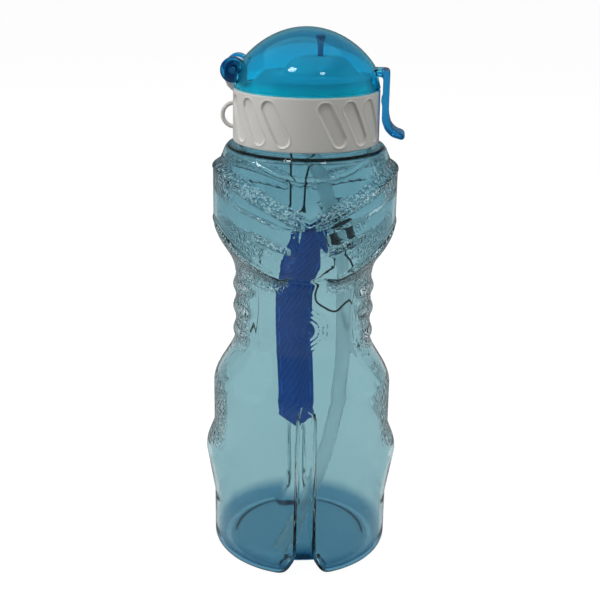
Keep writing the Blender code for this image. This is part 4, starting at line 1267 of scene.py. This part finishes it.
    def build(self) -> list[bpy.types.Object]:
        """Makes the lid's moulding, lug and eyelet."""
        shell = wrapped("lid_moulding", self.rows())
        pieces = [shell, self.lug(), self.eyelet()]
        white = LID_WHITE.material()
        for piece in pieces:
            piece.data.transform(Matrix.Rotation(LID_TURN, 4, "Z"))
            dress(piece, white)
            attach(piece, Body.LID.value)
            report(piece)
        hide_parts("screw_cap")
        return pieces


# ---------------------------------------------------------------- dome cover


@dataclass
class DomeCover:
    """The clear blue cover: dome, knuckles and latch lever in one moulding, and its stopper."""

    radius: float = 28.4
    wall: float = 1.3
    bottom: float = 195.8
    rim: float = 6.5
    draft: float = 1.5
    top: float = 218.4
    point: float = 1.58
    hinge_x: float = -27.6
    hinge_z: float = 202.4
    knuckle: float = 4.8

    def section(self, radius: float, top: float) -> Profile:
        """The dome's profile from its rim's foot up to the axis."""
        spring, crown = self.bottom + self.rim, radius - self.draft
        points = [(radius, self.bottom + 0.35), (mix(radius, crown, 0.5), mix(196.0, spring, 0.5))]
        for step in range(33):
            angle = 0.5 * math.pi * step / 32.0
            rise = math.sin(angle) ** self.point
            points.append((crown * math.cos(angle), mix(spring, top, rise)))
        return points

    def dome(self) -> bpy.types.Object:
        """The dome as a solid, with a rounded foot."""
        outer = self.section(self.radius, self.top)
        foot = [(0.0, self.bottom), (self.radius - 0.4, self.bottom)]
        return spun("dome_shell", foot + outer, 128)

    def hollow(self) -> bpy.types.Object:
        """What the dome is hollowed by."""
        inner = self.section(self.radius - self.wall, self.top - self.wall)
        foot = [(0.0, 194.0), (self.radius - self.wall, 194.0)]
        return spun("hollow", foot + inner, 128)

    def lever(self) -> bpy.types.Object:
        """The latch lever with its bridge, hook and curled tail."""
        outer_line = [(25.0, 203.4), (31.0, 203.4), (31.9, 202.2), (31.9, 186.5), (32.8, 182.6)]
        outer_line += [(35.0, 180.4), (37.6, 179.6), (38.6, 178.4)]
        inner_line = [(37.6, 177.0), (33.3, 178.2), (30.7, 180.7), (29.3, 184.3), (29.3, 190.0)]
        inner_line += [(28.7, 192.0), (29.3, 193.0), (29.3, 200.8), (25.0, 200.8)]
        outline = rounded(outer_line, 1.6, 5)[:-1] + rounded([(38.6, 178.4)] + inner_line, 1.2, 4)
        return plate("lever", outline, -5.5, 5.5, 0.55)

    def cover(self) -> bpy.types.Object:
        """The whole clear moulding."""
        piece = self.dome()
        for side in (-1.0, 1.0):
            start = Vector((self.hinge_x, side * 5.3, self.hinge_z))
            end = Vector((self.hinge_x, side * 8.9, self.hinge_z))
            combine(piece, drum("knuckle", self.knuckle, start, end, 0.4), Cut.JOIN)
        combine(piece, self.lever(), Cut.JOIN)
        combine(piece, self.hollow(), Cut.REMOVE)
        opening = [(-36.0, 194.0), (-18.0, 194.0), (-18.0, 206.5), (-36.0, 206.5)]
        combine(piece, plate("lug_room", opening, -5.3, 5.3, 0.0), Cut.REMOVE)
        start = Vector((self.hinge_x, -12.0, self.hinge_z))
        end = Vector((self.hinge_x, 12.0, self.hinge_z))
        combine(piece, drum("bore", 1.5, start, end, 0.0), Cut.REMOVE)
        weld(piece, 32.0)
        for face in piece.data.polygons:
            reach = math.hypot(face.center.x, face.center.y)
            face.material_index = int(reach > (self.radius + 0.25) * MM)
        return piece

    def stopper(self) -> bpy.types.Object:
        """The peg under the dome, with its flared head."""
        profile = [(0.0, 215.4), (1.7, 215.4), (2.0, 215.1), (1.9, 214.6), (1.35, 213.0)]
        profile += [(1.1, 211.2), (1.05, 209.5), (1.05, 206.0), (0.95, 205.5), (0.6, 205.2)]
        profile += [(0.0, 205.2)]
        peg = spun("stopper_peg", profile, 48)
        peg.data.transform(Matrix.Translation((5.0 * MM, 0.0, 0.0)))
        weld(peg)
        return peg

    def build(self) -> list[bpy.types.Object]:
        """Makes the cover and its stopper."""
        cover, peg = self.cover(), self.stopper()
        cover.data.transform(Matrix.Rotation(LID_TURN, 4, "Z"))
        peg.data.transform(Matrix.Rotation(LID_TURN, 4, "Z"))
        solid_parts = [face.material_index for face in cover.data.polygons]
        dress(cover, COVER_BLUE.material())
        cover.data.materials.append(LEVER_BLUE.material())
        cover.data.polygons.foreach_set("material_index", solid_parts)
        dress(peg, STOPPER_BLUE.material())
        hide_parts("dome_cover")
        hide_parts("stopper_pin")
        for piece in (cover, peg):
            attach(piece, Body.COVER.value)
            report(piece)
        return [cover, peg]


# ----------------------------------------------------- straw, strap and cords


def swept(route: np.ndarray, radius: float, sides: int) -> np.ndarray:
    """Rows of points round a line.

    Args:
        route: The line's points, in millimetres.
        radius: The tube's radius.
        sides: Points round the tube.

    Returns:
        One row of points for each of the line's.
    """
    side = np.array((0.0, 1.0, 0.0))
    turns = np.linspace(0.0, math.tau, sides + 1)
    rows = []
    for index, point in enumerate(route):
        ahead = route[min(index + 1, len(route) - 1)] - route[max(index - 1, 0)]
        ahead = ahead / np.linalg.norm(ahead)
        side = side - ahead * side.dot(ahead)
        side = side / np.linalg.norm(side)
        across = np.cross(ahead, side)
        rows.append(point + radius * (np.outer(np.cos(turns), side) + np.outer(np.sin(turns), across)))
    return np.array(rows)


@dataclass
class DrinkingStraw:
    """The bent milky tube, open at both ends."""

    radius: float = 3.0
    wall: float = 0.45
    sides: int = 40

    def build(self) -> bpy.types.Object:
        """Makes the tube."""
        route = smooth_route(STRAW_ROUTE, 10)
        outer = swept(route, self.radius, self.sides)
        inner = swept(route, self.radius - self.wall, self.sides)
        piece = wrapped("straw_tube", np.concatenate([outer, inner[::-1], outer[:1]]))
        dress(piece, STRAW_TUBE.material())
        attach(piece, Body.BOTTLE.value)
        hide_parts("straw")
        report(piece)
        return piece


@dataclass
class CarryStrap:
    """The webbing, folded up and down in a stack, with its two cords and its buckle."""

    width: float = 15.0
    thickness: float = 1.1
    pitch: float = 1.55
    crease: float = 8.0
    slant: float = math.radians(24.0)

    def lean(self, height: np.ndarray) -> np.ndarray:
        """How far the stack leans to the right as it rises."""
        top = 6.3 * ease((height - 114.0) / 30.0)
        return top + 1.5 * ease((108.0 - height) / 44.0)

    def runs(self) -> list[tuple[float, float, float]]:
        """Each run's depth, and the heights that it starts and ends at."""
        lows = (65.0, 65.0, 66.0, 66.0, 69.0, 69.0)
        highs = (142.0, 139.5, 139.5, 140.5, 140.5, 137.0)
        runs = []
        for index, (low, high) in enumerate(zip(lows, highs)):
            ends = (high, low) if index % 2 == 0 else (low, high)
            runs.append((-16.0 + self.pitch * index, *ends))
        return runs

    def centre_line(self) -> np.ndarray:
        """Depths and heights along the ribbon, down and up through every run and fold."""
        points = []
        runs = self.runs()
        for (depth, start, end), following in zip(runs, runs[1:] + [None]):
            for share in np.linspace(0.0, 1.0, 60, endpoint=following is None):
                height = mix(start, end, share)
                points.append((depth + 0.16 * math.sin(0.21 * height + 1.7 * depth), height))
            if following is None:
                continue
            sense = 1.0 if end > 100.0 else -1.0
            for share in np.linspace(0.0, 1.0, 9, endpoint=False):
                across = depth + 0.5 * self.pitch * (1.0 - math.cos(math.pi * share))
                points.append((across, end + sense * 1.1 * math.sin(math.pi * share)))
        return np.array(points)

    def webbing(self) -> bpy.types.Object:
        """The ribbon itself, each layer bent in a shallow V along the crease."""
        line = self.centre_line()
        spread = np.linspace(0.0, self.width, 19)
        bend = np.hypot(spread - self.crease, 0.9) - 0.9
        depth = line[:, 0][:, None] + math.sin(self.slant) * bend
        height = line[:, 1][:, None] + np.zeros_like(spread)
        low = ease((92.0 - height) / 26.0)
        height = height - low * (4.6 - 0.62 * np.abs(spread - self.crease - 0.2))
        height = height + 2.6 * ease((height - 128.0) / 14.0) * (spread / self.width - 0.4)
        across = math.cos(self.slant) * spread - 11.2 + self.lean(height)
        piece = wrapped("strap_ribbon", np.stack([across, depth, height], axis=-1))
        solid = piece.modifiers.new("thickness", "SOLIDIFY")
        solid.thickness = self.thickness * MM
        solid.offset = 0.0
        apply_modifiers(piece)
        weld(piece, 50.0)
        dress(piece, WEBBING_BLUE.material())
        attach(piece, Body.CARRIER.value)
        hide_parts("strap_webbing")
        report(piece)
        return piece

    def buckle(self) -> bpy.types.Object:
        """The slide buckle, a rounded plate with one slot."""
        deselect()
        bpy.ops.mesh.primitive_cube_add(size=MM)
        piece = named("slide_buckle")
        piece.scale = (9.0, 3.2, 12.5)
        bake_place(piece)
        soften(piece, 1.2, 4)
        deselect()
        bpy.ops.mesh.primitive_cube_add(size=MM)
        slot = named("slot")
        slot.scale = (5.0, 8.0, 3.6)
        bake_place(slot)
        soften(slot, 0.7, 3)
        combine(piece, slot, Cut.REMOVE)
        turned = Matrix.Rotation(math.radians(-28.0), 4, "Z")
        piece.data.transform(Matrix.Translation(Vector((13.8, -12.5, 141.0)) * MM) @ turned)
        weld(piece, 35.0)
        dress(piece, BUCKLE_BLACK.material())
        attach(piece, Body.CARRIER.value)
        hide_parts("strap_buckle")
        report(piece)
        return piece

    def cord(self, name: str, route: tuple, node: str) -> bpy.types.Object:
        """One limp cord along its route.

        Args:
            name: The piece's name.
            route: The route's points, in millimetres.
            node: The plain solid that it stands for.

        Returns:
            The cord.
        """
        line = smooth_route(route, 6)
        deselect()
        bpy.ops.curve.primitive_nurbs_path_add()
        piece = named(name)
        piece.data.splines.clear()
        spline = piece.data.splines.new("POLY")
        spline.points.add(len(line) - 1)
        for point, where in zip(spline.points, line):
            point.co = (*(where * MM), 1.0)
        piece.data.bevel_depth = 0.4 * MM
        piece.data.bevel_resolution = 4
        piece.data.use_fill_caps = True
        spline.use_smooth = True
        dress(piece, CORD_BLACK.material())
        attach(piece, Body.CARRIER.value)
        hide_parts(node)
        report(piece)
        return piece

    def build(self) -> None:
        """Makes the webbing, the buckle and both cords."""
        self.cord("hanging_cord", HANGING_CORD_ROUTE, "strap_cord_hanging")
        self.cord("trailing_cord", TRAILING_CORD_ROUTE, "strap_cord_trailing")
        self.webbing()
        self.buckle()


def dress_kept_nodes() -> None:
    """Gives the seal and the hinge pin, whose shapes stay, their finishes."""
    for node, finish, slot in (("cap_gasket", SEAL, "seal"), ("hinge_pin", PIN_BLUE, "cover_blue")):
        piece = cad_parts[node]
        material = finish.material()
        for material_slot in piece.material_slots:
            material_slot.material = material
        log.info("%s: kept, dressed in %s", node, slot)


# --------------------------------------------------------------------- studio


@dataclass(frozen=True)
class Lamp:
    """One area light: place and size in metres, watts, and whether gloss mirrors it."""

    name: str
    spot: tuple[float, float, float]
    size: tuple[float, float]
    power: float
    mirrored: bool = False


LAMPS = (
    Lamp("left_softbox", (-0.85, -0.20, 0.42), (0.8, 1.2), 5.2),
    Lamp("right_softbox", (0.90, -0.05, 0.40), (0.7, 1.1), 3.6),
    Lamp("top_softbox", (-0.15, 0.05, 1.0), (1.3, 1.2), 10.0),
    Lamp("small_lamp", (-0.35, -0.38, 1.10), (0.16, 0.16), 1.6, True),
    Lamp("side_lamp", (0.30, -0.50, 0.95), (0.10, 0.10), 0.5, True),
)


@dataclass
class Studio:
    """The camera, the pale floor and the soft lights."""

    aim_height: float = 0.12
    sky_dim: float = 0.14
    sky_through: float = 0.60
    distance: float = 425.56
    height: float = 255.49
    azimuth: float = math.radians(3.5)
    pan: float = math.radians(0.1727)
    pitch: float = 0.33196
    roll: float = math.radians(-0.93)
    lens: float = 65.68

    def camera(self) -> None:
        """Adds the camera and makes it the scene's."""
        data = bpy.data.cameras.new("camera")
        data.lens = self.lens
        data.sensor_width = 36.0
        data.clip_start = 0.01
        camera = bpy.data.objects.new("camera", data)
        bpy.context.scene.collection.objects.link(camera)
        heading = self.azimuth - self.pan
        level = math.cos(self.pitch)
        flat = Vector((math.sin(heading), math.cos(heading), 0.0)) * level
        ahead = flat - Vector((0.0, 0.0, math.sin(self.pitch)))
        right = Vector((math.cos(heading), -math.sin(heading), 0.0))
        up = right.cross(ahead)
        leaned = right * math.cos(self.roll) - up * math.sin(self.roll)
        raised = up * math.cos(self.roll) + right * math.sin(self.roll)
        turn = Matrix((leaned, raised, -ahead)).transposed().to_4x4()
        spot = Vector((-math.sin(self.azimuth), -math.cos(self.azimuth), 0.0)) * self.distance
        spot += Vector((0.0, 0.0, self.height))
        camera.matrix_world = Matrix.Translation(spot * MM) @ turn
        bpy.context.scene.camera = camera

    def floor(self) -> None:
        """Adds the pale floor."""
        deselect()
        bpy.ops.mesh.primitive_plane_add(size=12.0)
        floor = named("studio_floor")
        material, build, shader = new_material("studio_floor")
        speckle = build.add("TexNoise", {"Vector": place(build), "Scale": 3.0})
        pale = build.blend(speckle.outputs[0], (0.26, 0.26, 0.26, 1.0), (0.28, 0.28, 0.28, 1.0))
        build.tree.links.new(pale, shader.inputs["Base Color"])
        shader.inputs["Roughness"].default_value = 0.9
        shade = build.add("BsdfDiffuse", {"Color": (0.07, 0.07, 0.07, 1.0)})
        glow = build.add("Emission", {"Color": (1.0, 1.0, 1.0, 1.0), "Strength": 0.97})
        seen = build.add("AddShader", {0: shade.outputs[0], 1: glow.outputs[0]})
        path = build.add("LightPath")
        direct = build.math("MAXIMUM", path.outputs[0], path.outputs["Is Transmission Ray"])
        surface = build.add("MixShader", {0: direct, 1: shader.outputs[0], 2: seen.outputs[0]})
        output = material.node_tree.nodes["Material Output"]
        build.tree.links.new(surface.outputs[0], output.inputs[0])
        floor.data.materials.append(material)

    def softbox(self, lamp: Lamp) -> None:
        """Adds one area light that faces the bottle.

        Args:
            lamp: The light's place, size and power.
        """
        data = bpy.data.lights.new(lamp.name, "AREA")
        data.shape = "RECTANGLE"
        data.size, data.size_y = lamp.size
        data.energy = lamp.power
        light = bpy.data.objects.new(lamp.name, data)
        light.visible_glossy = lamp.mirrored
        bpy.context.scene.collection.objects.link(light)
        aim = Vector((0.0, 0.0, self.aim_height)) - Vector(lamp.spot)
        light.location = lamp.spot
        light.rotation_euler = aim.to_track_quat("-Z", "Y").to_euler()

    def build(self) -> None:
        """Adds the floor, the lights and the surroundings."""
        self.floor()
        for lamp in LAMPS:
            self.softbox(lamp)
        self.surroundings()

    def surroundings(self) -> None:
        """Adds a sky that is dim in gloss, paler through clear plastic and white behind."""
        world = bpy.data.worlds.new("surroundings")
        world.use_nodes = True
        nodes, links = world.node_tree.nodes, world.node_tree.links
        sky = nodes["Background"]
        sky.inputs["Color"].default_value = (0.96, 0.98, 1.0, 1.0)
        through = nodes.new("ShaderNodeMapRange")
        through.inputs["To Min"].default_value = self.sky_dim
        through.inputs["To Max"].default_value = self.sky_through
        path = nodes.new("ShaderNodeLightPath")
        links.new(path.outputs["Is Transmission Ray"], through.inputs["Value"])
        pale = nodes.new("ShaderNodeMath")
        pale.operation = "MAXIMUM"
        links.new(through.outputs[0], pale.inputs[0])
        links.new(path.outputs["Is Camera Ray"], pale.inputs[1])
        links.new(pale.outputs[0], sky.inputs["Strength"])
        bpy.context.scene.world = world
        bpy.context.scene.view_settings.view_transform = "Standard"


def main() -> None:
    """Builds the studio and every piece in order."""
    logging.basicConfig(level=logging.INFO, format="%(message)s")
    studio = Studio()
    studio.camera()
    CarryStrap().build()
    BottleShell().build()
    ScrewLid().build()
    DomeCover().build()
    DrinkingStraw().build()
    dress_kept_nodes()
    studio.build()
    deselect()


if __name__ == "__main__":
    main()
